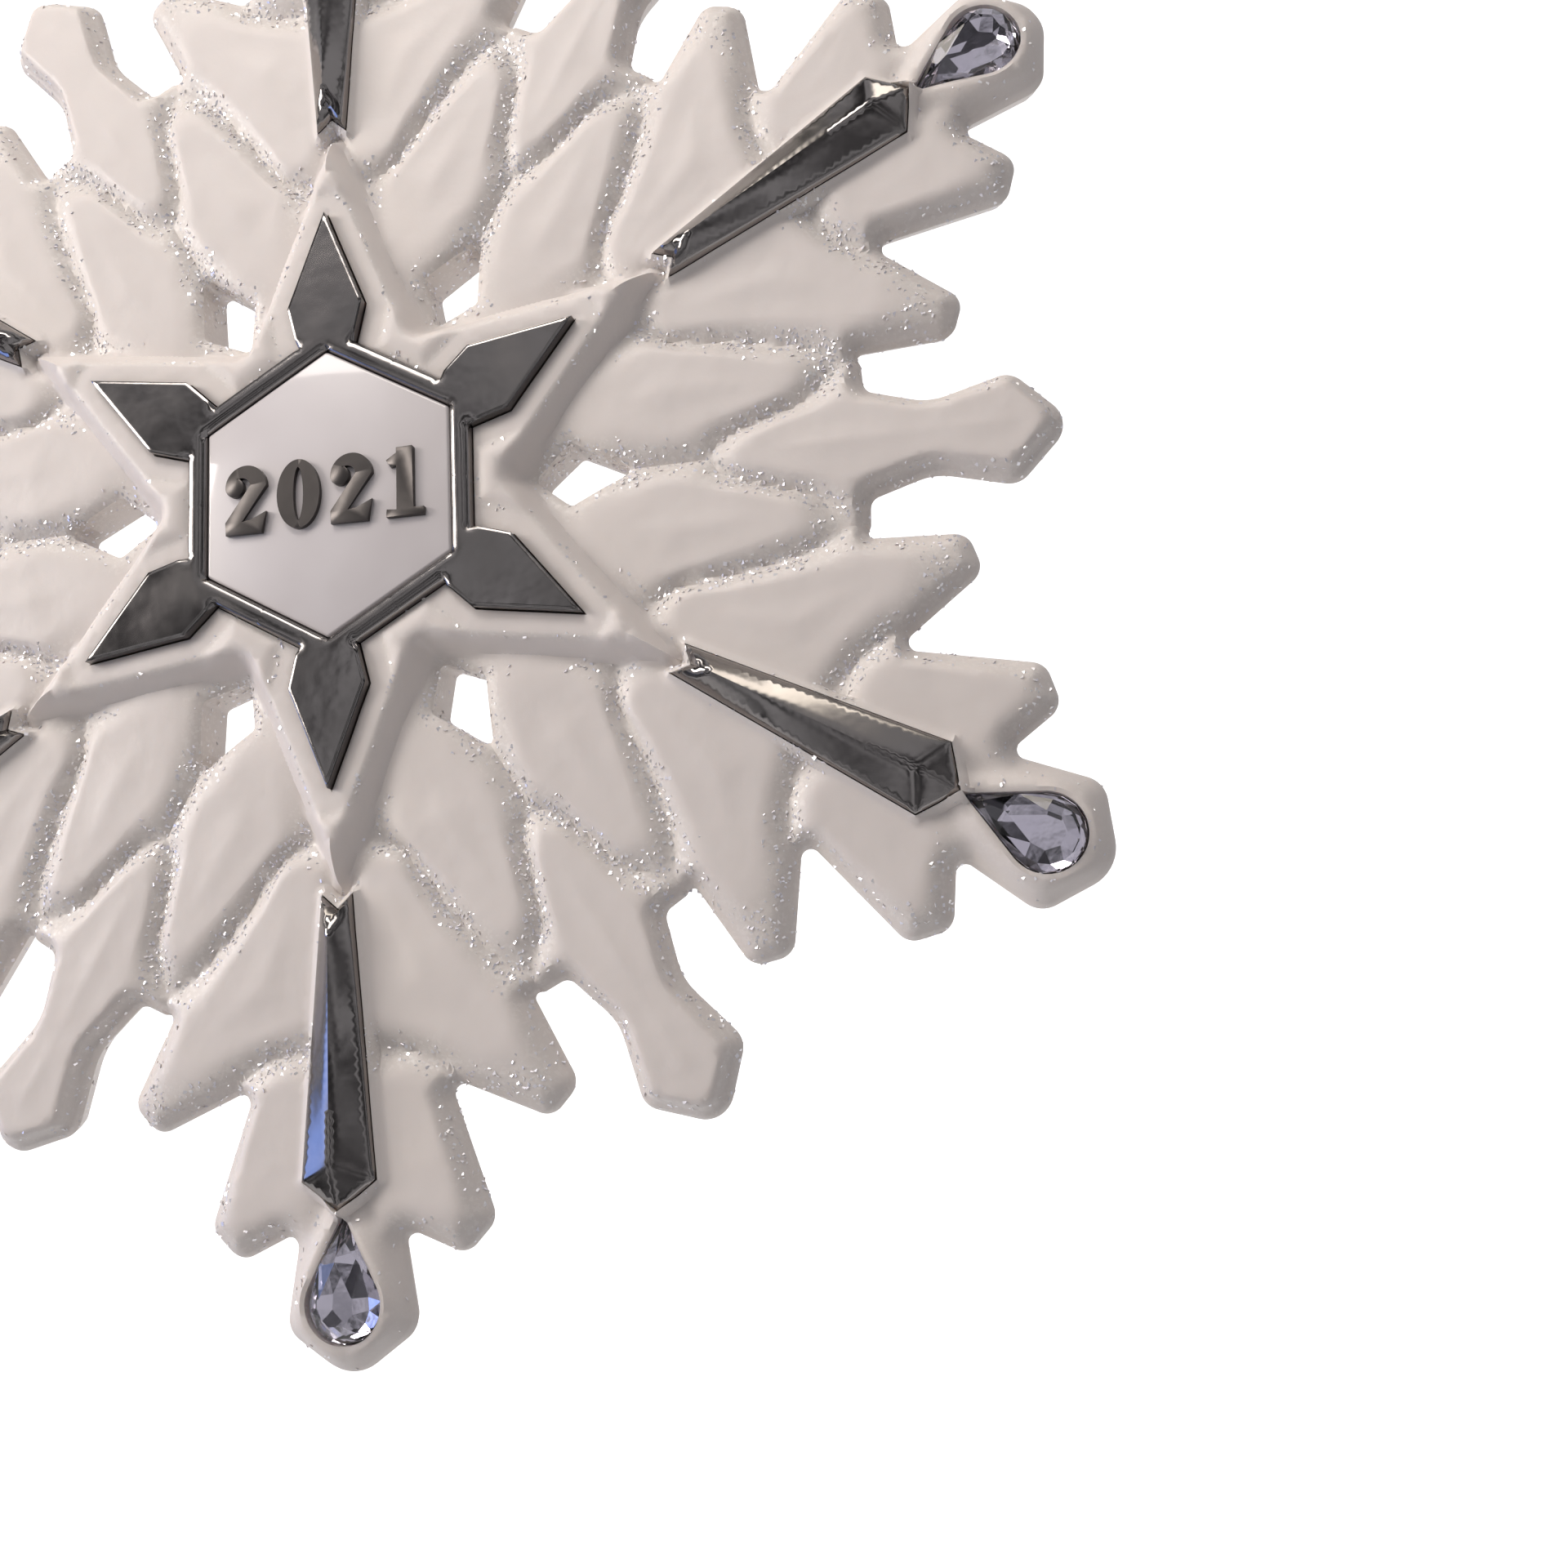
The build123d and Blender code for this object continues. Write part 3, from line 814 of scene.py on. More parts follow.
def porcelain_front(points, look):
    """Height of the porcelain's front: rounded rim, leaves, star, collars, mounds, beds and pockets."""
    at_rim = rounded(signed_distance(points, RIM_LOOP), look.edge_round)
    height = look.edge_height + (RIM - look.edge_height) * at_rim
    height += relief_above_rim(points, look)
    spear = -signed_distance(points, SPEAR_LOOPS)
    collar = (LEAF - RIM) * (1 - ease(spear, 0, look.collar_width))
    height = np.where(spear < look.collar_width, np.maximum(height, RIM + collar - look.lip), height)
    mound = 1 - ease(-signed_distance(points, CRYSTAL_LOOPS), SETTING_BRIM, look.setting_width)
    height += look.setting_rise * mound * at_rim
    bed = np.maximum(signed_distance(points, BED_LOOPS), signed_distance(points, CENTRE_LOOP))
    height -= look.bed_depth * ease(bed, -look.bed_slope, 0)
    window = -signed_distance(points, WINDOW_LOOPS)
    height -= 2 * look.lip * (1 - rounded(window, 3 * look.lip))
    for loops, floor in POCKETS:
        inside = signed_distance(points, loops)
        height -= look.lip * (1 - rounded(-inside, 2 * look.lip)) * (inside < 0)
        height = np.where(inside > 0, floor, height)
    return height


def porcelain_back(points, look):
    """Height of the back: flat, and drawn in under the rim as a cast piece leaves its mould."""
    edge = signed_distance(points, RIM_LOOP)
    return look.edge_height * (1 - ease(edge, -look.undercut, look.undercut)) * 2 * (edge < look.undercut)


def mica_mask(points, look):
    """Where mica lies, from 0 on the raised surfaces to 1 in the hollows between them."""
    hollow = 1 - ease(leaf_share(points, look), look.mica_level / 3, look.mica_level)
    hollow *= 1 - ease(signed_distance(points, STAR_LOOP), -look.star_side, -look.star_side / 2)
    inward = ease(signed_distance(points, RIM_LOOP), *RIM_FADE)
    hollow *= RIM_MICA + (1 - RIM_MICA) * inward
    setting = 1 - ease(-signed_distance(points, CRYSTAL_LOOPS), *SETTING_FADE)
    hollow *= 1 - SETTING_BARE * setting
    bed = np.maximum(signed_distance(points, BED_LOOPS), signed_distance(points, CENTRE_LOOP))
    beside_bed = ease(bed, *BED_FADE) * (bed < 0)
    return np.maximum(hollow, BED_MICA * beside_bed)


class SnowflakeLook(bpy.types.PropertyGroup):
    """Sizes and colours that a maker would change.

    Sizes are in mm. The camera's kind of distance is the one that the panel shows in mm.
    """

    edge_height: FloatProperty(
        name="Edge height", description="Height of the widest line of the rim",
        default=2.2, subtype="DISTANCE_CAMERA",
    )
    edge_round: FloatProperty(
        name="Edge rounding", description="How far in the rim's rounding reaches",
        default=1.2, subtype="DISTANCE_CAMERA",
    )
    undercut: FloatProperty(
        name="Undercut", description="How far the back is drawn in under the rim",
        default=1.25, subtype="DISTANCE_CAMERA",
    )
    rim_pull: FloatProperty(
        name="Rim pull", description="How soon a leaf falls away towards the rim",
        default=0.6, subtype="FACTOR", min=0.0, soft_max=2.0,
    )
    leaf_rise: FloatProperty(
        name="Leaf rise", description="Height of a leaf's edge above the hollows",
        default=0.75, subtype="DISTANCE_CAMERA",
    )
    rim_flat: FloatProperty(
        name="Rim flat", description="Width of the rim outside a leaf's foot",
        default=0.5, subtype="DISTANCE_CAMERA",
    )
    leaf_spread: FloatProperty(
        name="Leaf spread", description="Share of a hollow's side that slopes",
        default=0.62, subtype="FACTOR", min=0.05, max=1.0,
    )
    leaf_round: FloatProperty(
        name="Leaf rounding", description="How far in a leaf's swelling reaches",
        default=2.4, subtype="DISTANCE_CAMERA",
    )
    leaf_crown: FloatProperty(
        name="Leaf crown", description="How far the middle of a leaf swells",
        default=0.14, subtype="DISTANCE_CAMERA",
    )
    star_round: FloatProperty(
        name="Star rounding", description="Width of the rounding inside the star's top",
        default=0.9, subtype="DISTANCE_CAMERA",
    )
    bed_depth: FloatProperty(
        name="Bed depth", description="How far the star is sunk round each petal",
        default=0.25, subtype="DISTANCE_CAMERA",
    )
    bed_slope: FloatProperty(
        name="Bed slope", description="Width of the slope down to a petal",
        default=1.1, subtype="DISTANCE_CAMERA",
    )
    mica_level: FloatProperty(
        name="Mica level", description="How far up a hollow's side the mica reaches",
        default=0.9, subtype="FACTOR", min=0.05, max=1.0,
    )
    star_side: FloatProperty(
        name="Star side", description="Width of the slope outside the star's top",
        default=1.0, subtype="DISTANCE_CAMERA",
    )
    collar_width: FloatProperty(
        name="Collar width", description="Porcelain drawn up round a spear",
        default=0.8, subtype="DISTANCE_CAMERA",
    )
    setting_rise: FloatProperty(
        name="Setting rise", description="Height of the mound round a crystal",
        default=0.7, subtype="DISTANCE_CAMERA",
    )
    setting_width: FloatProperty(
        name="Setting width", description="Width of the mound round a crystal",
        default=1.7, subtype="DISTANCE_CAMERA",
    )
    lip: FloatProperty(
        name="Lip", description="Softness of the porcelain's edge at a pocket",
        default=0.12, subtype="DISTANCE_CAMERA",
    )
    unevenness: FloatProperty(
        name="Unevenness", description="Hand finishing left in the porcelain",
        default=0.05, subtype="DISTANCE_CAMERA",
    )
    flake_density: FloatProperty(
        name="Flake density", description="Mica flakes on a square millimetre of hollow",
        default=15.0,
    )
    flake_radius: FloatProperty(
        name="Flake radius", description="Radius of the largest mica flakes",
        default=0.18, subtype="DISTANCE_CAMERA",
    )
    seed: IntProperty(name="Seed", description="Which scatter of mica is drawn", default=7)
    porcelain: FloatVectorProperty(
        name="Porcelain", description="Bisque porcelain", subtype="COLOR", default=srgb("#E2DAD5"),
    )
    porcelain_shade: FloatVectorProperty(
        name="Porcelain shade", description="Its slow drifts", subtype="COLOR", default=srgb("#DAD2CD"),
    )
    mica_bed: FloatVectorProperty(
        name="Mica bed", description="Powder in the hollows", subtype="COLOR", default=srgb("#DCD5CF"),
    )
    mica: FloatVectorProperty(
        name="Mica", description="Mica flakes", subtype="COLOR", default=srgb("#FFFDF8"),
    )
    tile: FloatVectorProperty(
        name="Tile", description="Glazed tile", subtype="COLOR", default=srgb("#DED8D8"),
    )
    # Kept dark: painted shade standing in for the dark room that the silver mirrors
    silver: FloatVectorProperty(
        name="Silver", description="Inlays and frame", subtype="COLOR", default=srgb("#928E8C"),
    )
    lustre: FloatVectorProperty(
        name="Lustre", description="Numerals", subtype="COLOR", default=srgb("#5E5A58"),
    )
    steel: FloatVectorProperty(
        name="Ring metal", description="Hanging ring", subtype="COLOR", default=srgb("#B9B7B4"),
    )
    crystal: FloatVectorProperty(
        name="Crystal", description="Cut stones", subtype="COLOR", default=srgb("#F7F6FB"),
    )
    foil: FloatVectorProperty(
        name="Foil", description="Foil behind the stones", subtype="COLOR", default=srgb("#E4E2E6"),
    )
    paper: FloatVectorProperty(
        name="Backdrop", description="Studio paper", subtype="COLOR", default=srgb("#FAFAFA"),
    )


def torus(centre_reach, height, radius, wire, around=72, section=24):
    """A ring lying flat, its centre up the top arm by a reach: wire(angle) is its round section's radius."""
    points, faces = [], []
    for i in range(around):
        turn = 2 * pi * i / around
        size = wire(turn)
        for j in range(section):
            roll = 2 * pi * j / section
            out = radius + size * cos(roll)
            points.append((out * sin(turn), centre_reach + out * cos(turn), height + size * sin(roll)))
            a, b = i * section + j, i * section + (j + 1) % section
            c, d = (i + 1) % around * section + j, (i + 1) % around * section + (j + 1) % section
            faces += [(a, b, d), (a, d, c)]
    return np.array(points), np.array(faces)


# How far below the rim plate rubbing down reaches, and the length of the waves it leaves, in mm
RUBBED_DEPTH = 0.1
RUBBED_WAVE = 3.2


def uneven(points, amount):
    """Raised points moved up and down a little, as rubbing down by hand leaves them."""
    moved = points.copy()
    for k, (x, y, height) in enumerate(points):
        if height > RIM - RUBBED_DEPTH:
            broad = noise((x / RUBBED_WAVE, y / RUBBED_WAVE, 0.5))
            fine = noise((x, y, 4.5))
            moved[k, 2] += amount * broad + amount / 3 * fine
    return moved


# Radii in mm of the hanging loop's hole and of its section, whole and where it sinks into the head
LOOP_HOLE = 1.5
LOOP_WIRE = 1.3
LOOP_ROOT = 0.85


def loop_wire(turn):
    """Radius of the loop's section at an angle from its top."""
    return LOOP_ROOT + (LOOP_WIRE - LOOP_ROOT) * float(ease(cos(turn), -1, -0.4))


def hanging_loop():
    """The porcelain loop on the top arm, round the depth that the ornament hangs from."""
    top = (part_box(BODY)[1].z - CENTRE.z) / MM
    hanging_height = BACK_Y / MM
    return torus(top - LOOP_HOLE - 2 * LOOP_WIRE, hanging_height, LOOP_HOLE + LOOP_WIRE, loop_wire)


class MakePorcelain(bpy.types.Operator):
    """Build the porcelain body and its hanging loop"""

    bl_idname = "snowflake.porcelain"
    bl_label = "Porcelain body"

    def execute(self, context):
        look = context.scene.snowflake
        # Lines of points beside each outline, in mm inside it or, below 0, outside it
        rows = [
            (RIM_LOOP, [0.06, 0.16, 0.3, 0.5, 0.75, 1.05]),
            (WINDOW_LOOPS, [0.08, 0.2, 0.36]),
            (LEAF_LOOPS, [0.35, 0.0, -0.3, -0.55, -0.8, -1.0]),
            (STAR_LOOP, [0.35, 0.12, -0.15, -0.4, -0.65, -0.85]),
            (SPEAR_LOOPS, [-0.12, -0.28, -0.55]),
            (CRYSTAL_LOOPS, [-0.12, -0.28]),
            (CENTRE_LOOP, [-0.12, -0.26]),
            (BED_LOOPS, [0.1, -0.1, -0.3, -0.55, -0.85, -1.15]),
        ]
        shell = sector_shell(
            SECTOR, BACK_LOOPS,
            top=lambda p: porcelain_front(p, look),
            bottom=lambda p: porcelain_back(p, look),
            step=0.36, grid=0.46, rows=rows, back_rows=[(RIM_LOOP, [0.35, 0.75, 1.1])],
            walls=SPEAR_LOOPS + CRYSTAL_LOOPS + CENTRE_LOOP,
        )
        is_front = shell[0][:, 2] > look.edge_height - 0.05
        mask = mica_mask(shell[0][:, :2], look) * is_front
        points, faces = all_round(*with_mirror(*shell))
        points = uneven(points, look.unevenness)
        loop_points, loop_faces = hanging_loop()
        faces = np.vstack([faces, loop_faces + len(points)])
        points = np.vstack([points, loop_points])
        mica = np.concatenate([np.tile(mask, 2 * ARMS), np.zeros(len(loop_points))])
        body = piece(BODY + "_surface", points, faces, bisque_porcelain(look), sharp=40, mica=mica)
        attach(body, "snowflake")
        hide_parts(BODY)
        return {"FINISHED"}


# ---------------------------------------------------------------- silver, tile, crystals

FRAME_NODE = "silver_star_frame"
FRAME_TOP = (BACK_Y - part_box(FRAME_NODE)[0].y) / MM
FRAME_OUTLINES = outlines(FRAME_NODE, TILE_FLOOR, -1)
# Distance from the centre to the outer side of the bar round the tile
BAND_OUT = max(abs(float(signed_distance(np.zeros((1, 2)), [loop])[0])) for loop in FRAME_OUTLINES)
# Depth and width in mm of the frame's softened edge, and of the bar's round section
FRAME_EDGE_DROP, FRAME_EDGE_ROUND = 0.08, 0.15
BAR_DROP, BAR_ROUND = 0.32, 0.66
# Distances past the bar's outer side over which its round section flattens out
BAR_FADE = (-0.1, 0.6)


def frame_front(points):
    """Height of the silver frame: a half-round bar round the tile that flattens out into the petals."""
    depth = signed_distance(points, FRAME_OUTLINES)
    out = points @ np.array([sin(HALF_SECTOR), cos(HALF_SECTOR)])
    on_bar = 1 - ease(out, BAND_OUT + BAR_FADE[0], BAND_OUT + BAR_FADE[1])
    edge_drop = FRAME_EDGE_DROP * (1 - rounded(depth, FRAME_EDGE_ROUND))
    bar_drop = BAR_DROP * on_bar * (1 - rounded(depth, BAR_ROUND))
    return FRAME_TOP - edge_drop - bar_drop


class MakeFrame(bpy.types.Operator):
    """Build the silver frame with its six petals"""

    bl_idname = "snowflake.frame"
    bl_label = "Silver frame"

    def execute(self, context):
        look = context.scene.snowflake
        shell = sector_shell(
            SECTOR, FRAME_OUTLINES, top=frame_front, bottom=lambda p: np.full(len(p), TILE_FLOOR),
            step=0.3, grid=0.35, rows=[(FRAME_OUTLINES, [0.02, 0.07, 0.15, 0.26, 0.4, 0.58])], coarse=2.0,
        )
        points, faces = all_round(*with_mirror(*shell))
        made = piece(FRAME_NODE + "_surface", points, faces, polished_silver(look), sharp=40)
        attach(made, "snowflake")
        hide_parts(FRAME_NODE)
        return {"FINISHED"}


class MakeTile(bpy.types.Operator):
    """Build the glazed hexagonal tile"""

    bl_idname = "snowflake.tile"
    bl_label = "Glazed tile"

    def execute(self, context):
        look = context.scene.snowflake
        glaze = glazed_porcelain(look)
        made = bevelled_copy("date_tile_surface", "date_tile", glaze, width=0.22, segments=4)
        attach(made, "snowflake")
        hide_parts("date_tile")
        return {"FINISHED"}


SPEAR_OUTLINE = outlines("spear_inlay_1", SPEAR_FLOOR, -1)
SPEAR_RIDGE = (BACK_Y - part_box("spear_inlay_1")[0].y) / MM
# Height of the ridge above the edges, and lengths of the hips at the far and the near end, in mm
SPEAR_RISE = 1.2
FAR_HIP = 2.9
NEAR_HIP = 1.4
# How crisply the facets meet, and the depth and width in mm of the softened edge
SPEAR_CRISPNESS = 16
SPEAR_EDGE_DROP, SPEAR_EDGE_ROUND = 0.12, 0.2


def inward_share(points, start, end, full):
    """How far in from the line through two points, as a share of the distance to a third."""
    normal = np.array([start[1] - end[1], end[0] - start[0]])
    return (points - start) @ normal / ((full - start) @ normal)


def spear_front(points):
    """Height of the spear on the top arm: two long facets up to a soft ridge, and a hip at each end."""
    corners = SPEAR_OUTLINE[0]
    tip = corners[corners[:, 1].argmax()]
    shoulder = corners[corners[:, 0].argmax()]
    tail = corners[(corners[:, 1] - WELD * corners[:, 0]).argmin()]
    middle = corners[np.abs(corners[:, 0]) < 10 * WELD]
    notch = middle[middle[:, 1].argmin()]
    half = tail[0] + (shoulder[0] - tail[0]) * (points[:, 1] - tail[1]) / (shoulder[1] - tail[1])
    right = 1 - points[:, 0] / half
    left = 1 + points[:, 0] / half
    far = inward_share(points, tip, shoulder, tip - [0, FAR_HIP])
    near = inward_share(points, tail, notch, notch + [0, NEAR_HIP])
    # The lowest of the four facets, blended where they meet
    soft = sum(np.exp(-SPEAR_CRISPNESS * np.clip(share, -0.2, 3)) for share in (right, left, far, near))
    share = np.clip(-np.log(soft) / SPEAR_CRISPNESS, 0, 1)
    edge = signed_distance(points, SPEAR_OUTLINE)
    edge_drop = SPEAR_EDGE_DROP * (1 - rounded(edge, SPEAR_EDGE_ROUND))
    return SPEAR_RIDGE - SPEAR_RISE + SPEAR_RISE * share - edge_drop


class MakeSpears(bpy.types.Operator):
    """Build the six silver spears"""

    bl_idname = "snowflake.spears"
    bl_label = "Silver spears"

    def execute(self, context):
        # The same silver as the frame's
        finish = bpy.data.materials["polished_silver"]
        shell = sector_shell(
            HALF_PLANE, SPEAR_OUTLINE, top=spear_front, bottom=lambda p: np.full(len(p), SPEAR_FLOOR),
            step=0.3, grid=0.35, rows=[(SPEAR_OUTLINE, [0.03, 0.09, 0.17])], coarse=2.0,
        )
        points, faces = with_mirror(*shell)
        for k in range(ARMS):
            node = f"spear_inlay_{k + 1}"
            made = piece(node + "_surface", turned(points, 2 * HALF_SECTOR * k), faces, finish, sharp=40)
            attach(made, "snowflake")
            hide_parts(node)
        return {"FINISHED"}


NUMERALS = ("numeral_two_left", "numeral_zero", "numeral_two_right", "numeral_one")
# How far the fired lustre fills the numerals out beyond their cut sides, in mm
LUSTRE_SWELL = 0.1


class MakeNumerals(bpy.types.Operator):
    """Build the four silver numerals"""

    bl_idname = "snowflake.numerals"
    bl_label = "Numerals"

    def execute(self, context):
        finish = dark_silver_lustre(context.scene.snowflake)
        for node in NUMERALS:
            made = bevelled_copy(
                node + "_surface", node, finish, width=0.02, segments=1, sharp=25, swell=LUSTRE_SWELL,
            )
            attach(made, "snowflake")
            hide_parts(node)
        return {"FINISHED"}


GIRDLE_CORNERS = 11
# Reach of each ring of corners as a share of the girdle's, on its round part and at its point
CROWN = (0.82, 0.8)
TABLE = (0.5, 0.5)
BASE = (0.55, 0.6)
# Where the crown's two extra corners lie: along the line to the point, and to either side of it
FLANK_ALONG, FLANK_ASIDE = 0.45, 0.56
# Length of the keel under the stone, as a share of the way to the point
KEEL = 0.3
# Heights as shares: the waist's from foil to table, and the facets' corners' from the waist to either
WAIST_SHARE = 0.5
FACET_SHARE = 0.55
# Thickness of the girdle, of the glue under the stone, and of the gap between foil and keel, in mm
GIRDLE_DEPTH = 0.2
GLUE = 0.12
KEEL_GAP = 0.15


def crystal_rings(loop):
    """Rings of corners for the stone on the top arm, from the outline of its seat."""
    low, high = loop.min(0), loop.max(0)
    radius = (high[0] - low[0]) / 2
    centre = np.array([0.0, high[1] - radius])
    point = np.array([0.0, low[1]])
    side = np.arccos(radius / (centre[1] - point[1]))
    turns = np.linspace(-(pi - side), pi - side, GIRDLE_CORNERS)
    between = (turns[:-1] + turns[1:]) / 2

    def ring(angles, share, tip_share):
        round_part = [centre + share * radius * np.array([sin(t), cos(t)]) for t in angles]
        return round_part + [centre + tip_share * (point - centre)]

    middle = centre + FLANK_ALONG * (point - centre)
    flanks = [middle + [way * FLANK_ASIDE * radius, 0] for way in (1, -1)]
    girdle = ring(turns, 1, 1)
    crown = ring(between, *CROWN) + flanks
    table = ring(turns[::2], *TABLE)
    base = ring(between[::2], *BASE)
    keel = [centre, centre + KEEL * (point - centre)]
    return girdle, crown, table, base, keel


def hull(levels_and_points):
    """The convex solid round some points at their heights, laid flat in mm."""
    bm = bmesh.new()
    for height, points in levels_and_points:
        for point in points:
            bm.verts.new((point[0], point[1], height))
    bmesh.ops.convex_hull(bm, input=bm.verts, use_existing_faces=False)
    loose = [v for v in bm.verts if not v.link_faces]
    bmesh.ops.delete(bm, geom=loose, context="VERTS")
    bmesh.ops.dissolve_limit(bm, angle_limit=FACET_TURN, verts=bm.verts, edges=bm.edges)
    return bm


def place_stone(name, bm, finish, turn, node):
    """Turn a stone's flat-laid mesh to its arm, stand it up and give it its finish."""
    mesh = bpy.data.meshes.new(name)
    bm.to_mesh(mesh)
    mesh.transform(STAND @ Matrix.Rotation(-turn, 4, "Z"))
    mesh.materials.append(finish)
    made = bpy.data.objects.new(name, mesh)
    bpy.context.scene.collection.objects.link(made)
    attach(made, "snowflake")
    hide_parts(node)


class MakeCrystals(bpy.types.Operator):
    """Build the six cut crystals and the foil behind each"""

    bl_idname = "snowflake.crystals"
    bl_label = "Crystals and foils"

    def execute(self, context):
        look = context.scene.snowflake
        glass, foil = cut_crystal(look), mirror_foil(look)
        loop = max(outlines("crystal_foil_1", CRYSTAL_FLOOR, -1), key=lambda seat: seat[:, 1].max())
        foil_top = (BACK_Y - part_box("crystal_foil_1")[0].y) / MM
        crown_top = (BACK_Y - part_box("crystal_1")[0].y) / MM
        girdle, crown, table, base, keel = crystal_rings(loop)
        waist = foil_top + WAIST_SHARE * (crown_top - foil_top)
        upper = waist + FACET_SHARE * (crown_top - waist)
        lower = waist - FACET_SHARE * (waist - foil_top)
        bottom = foil_top + KEEL_GAP
        for k in range(ARMS):
            turn = 2 * HALF_SECTOR * k
            stone = hull([
                (crown_top, table), (upper, crown), (waist, girdle),
                (waist - GIRDLE_DEPTH, girdle), (lower, base), (bottom, keel),
            ])
            place_stone(f"crystal_{k + 1}_cut", stone, glass, turn, f"crystal_{k + 1}")
            stone.free()
            cup = hull([
                (waist - GIRDLE_DEPTH - GLUE, girdle), (lower - GLUE, base),
                (bottom - GLUE, keel), (CRYSTAL_FLOOR, keel),
            ])
            place_stone(f"crystal_foil_{k + 1}_cup", cup, foil, turn, f"crystal_foil_{k + 1}")
            cup.free()
        return {"FINISHED"}


class MakeRing(bpy.types.Operator):
    """Build the metal hanging ring"""

    bl_idname = "snowflake.ring"
    bl_label = "Hanging ring"

    def execute(self, context):
        look = context.scene.snowflake
        low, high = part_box("hang_ring")
        wire = (high.x - low.x) / 2
        radius = (high.z - low.z) / 2 - wire
        points, faces = torus(0, 0, radius / MM, lambda turn: wire / MM, around=96, section=20)
        mesh = bpy.data.meshes.new("hang_ring_surface")
        mesh.from_pydata([tuple(p * MM) for p in points], [], [tuple(int(i) for i in f) for f in faces])
        mesh.transform(Matrix.Translation((low + high) / 2) @ Matrix.Rotation(pi / 2, 4, "Y"))
        made = finished("hang_ring_surface", mesh, polished_steel(look))
        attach(made, "hanger")
        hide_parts("hang_ring")
        return {"FINISHED"}


# ---------------------------------------------------------------- mica

# Thickness of a flake in mm, and the angles in radians that it may lean by and be spun by
FLAKE_THICKNESS = 0.03
FLAKE_LEAN = 0.7
FLAKE_SPIN = 6.28


def flake_tree(finish):
    """Flakes strewn over a surface where its mica attribute says, each turned its own way."""
    tree = bpy.data.node_groups.new("mica_flakes", "GeometryNodeTree")
    add_socket = tree.interface.new_socket
    add_socket("Geometry", in_out="INPUT", socket_type="NodeSocketGeometry")
    for name in ("Density", "Flake radius", "Thickness", "Tilt"):
        add_socket(name, in_out="INPUT", socket_type="NodeSocketFloat")
    add_socket("Seed", in_out="INPUT", socket_type="NodeSocketInt")
    add_socket("Geometry", in_out="OUTPUT", socket_type="NodeSocketGeometry")
    given = add_node(tree, "NodeGroupInput").outputs
    mica = add_node(tree, "GeometryNodeInputNamedAttribute", {"Name": "mica"}, data_type="FLOAT")
    # Squared, so that few flakes stray up the sides of the hollows
    steep = add_node(
        tree, "ShaderNodeMath", {0: mica.outputs["Attribute"], 1: 2.0}, operation="POWER",
    )
    # The flakes lie in clumps, a few millimetres across
    drift = add_node(tree, "ShaderNodeTexNoise", {"Scale": per(2.5), "Detail": 2.0})
    clump = add_node(
        tree, "ShaderNodeMapRange",
        {"Value": drift.outputs["Fac"], "From Min": 0.42, "From Max": 0.6, "To Min": 0.2, "To Max": 1.0},
    )
    strewing = add_node(
        tree, "ShaderNodeMath", {0: steep.outputs[0], 1: clump.outputs["Result"]}, operation="MULTIPLY",
    )
    density = add_node(
        tree, "ShaderNodeMath", {0: strewing.outputs[0], 1: given["Density"]}, operation="MULTIPLY",
    )
    strewn = add_node(
        tree, "GeometryNodeDistributePointsOnFaces",
        {"Mesh": given["Geometry"], "Density": density.outputs[0], "Seed": given["Seed"]},
    )
    flake = add_node(
        tree, "GeometryNodeMeshCylinder",
        {"Vertices": 4, "Radius": given["Flake radius"], "Depth": given["Thickness"]}, fill_type="NGON",
    )
    # A random number's least and greatest are its sockets 2 and 3, and a random vector's are 0 and 1
    size = add_node(
        tree, "FunctionNodeRandomValue", {2: 0.3, 3: 1.0, "Seed": given["Seed"]}, data_type="FLOAT",
    )
    back = add_node(tree, "ShaderNodeMath", {0: given["Tilt"], 1: -1.0}, operation="MULTIPLY")
    lowest = add_node(tree, "ShaderNodeCombineXYZ", {"X": back.outputs[0], "Y": back.outputs[0], "Z": 0.0})
    highest = add_node(
        tree, "ShaderNodeCombineXYZ", {"X": given["Tilt"], "Y": given["Tilt"], "Z": FLAKE_SPIN},
    )
    tilt = add_node(
        tree, "FunctionNodeRandomValue",
        {0: lowest.outputs[0], 1: highest.outputs[0], "Seed": given["Seed"]}, data_type="FLOAT_VECTOR",
    )
    turned_flake = add_node(
        tree, "FunctionNodeRotateRotation",
        {"Rotation": strewn.outputs["Rotation"], "Rotate By": tilt.outputs[0]}, rotation_space="LOCAL",
    )
    placed = add_node(
        tree, "GeometryNodeInstanceOnPoints",
        {
            "Points": strewn.outputs["Points"],
            "Instance": flake.outputs["Mesh"],
            "Rotation": turned_flake.outputs["Rotation"],
            "Scale": size.outputs[1],
        },
    )
    real = add_node(tree, "GeometryNodeRealizeInstances", {"Geometry": placed.outputs["Instances"]})
    dressed = add_node(
        tree, "GeometryNodeSetMaterial", {"Geometry": real.outputs["Geometry"], "Material": finish},
    )
    add_node(tree, "NodeGroupOutput", {"Geometry": dressed.outputs["Geometry"]})
    return tree


def socket_identifier(tree, name):
    """The identifier of a tree's named input."""
    return next(s.identifier for s in tree.interface.items_tree if s.name == name and s.in_out == "INPUT")


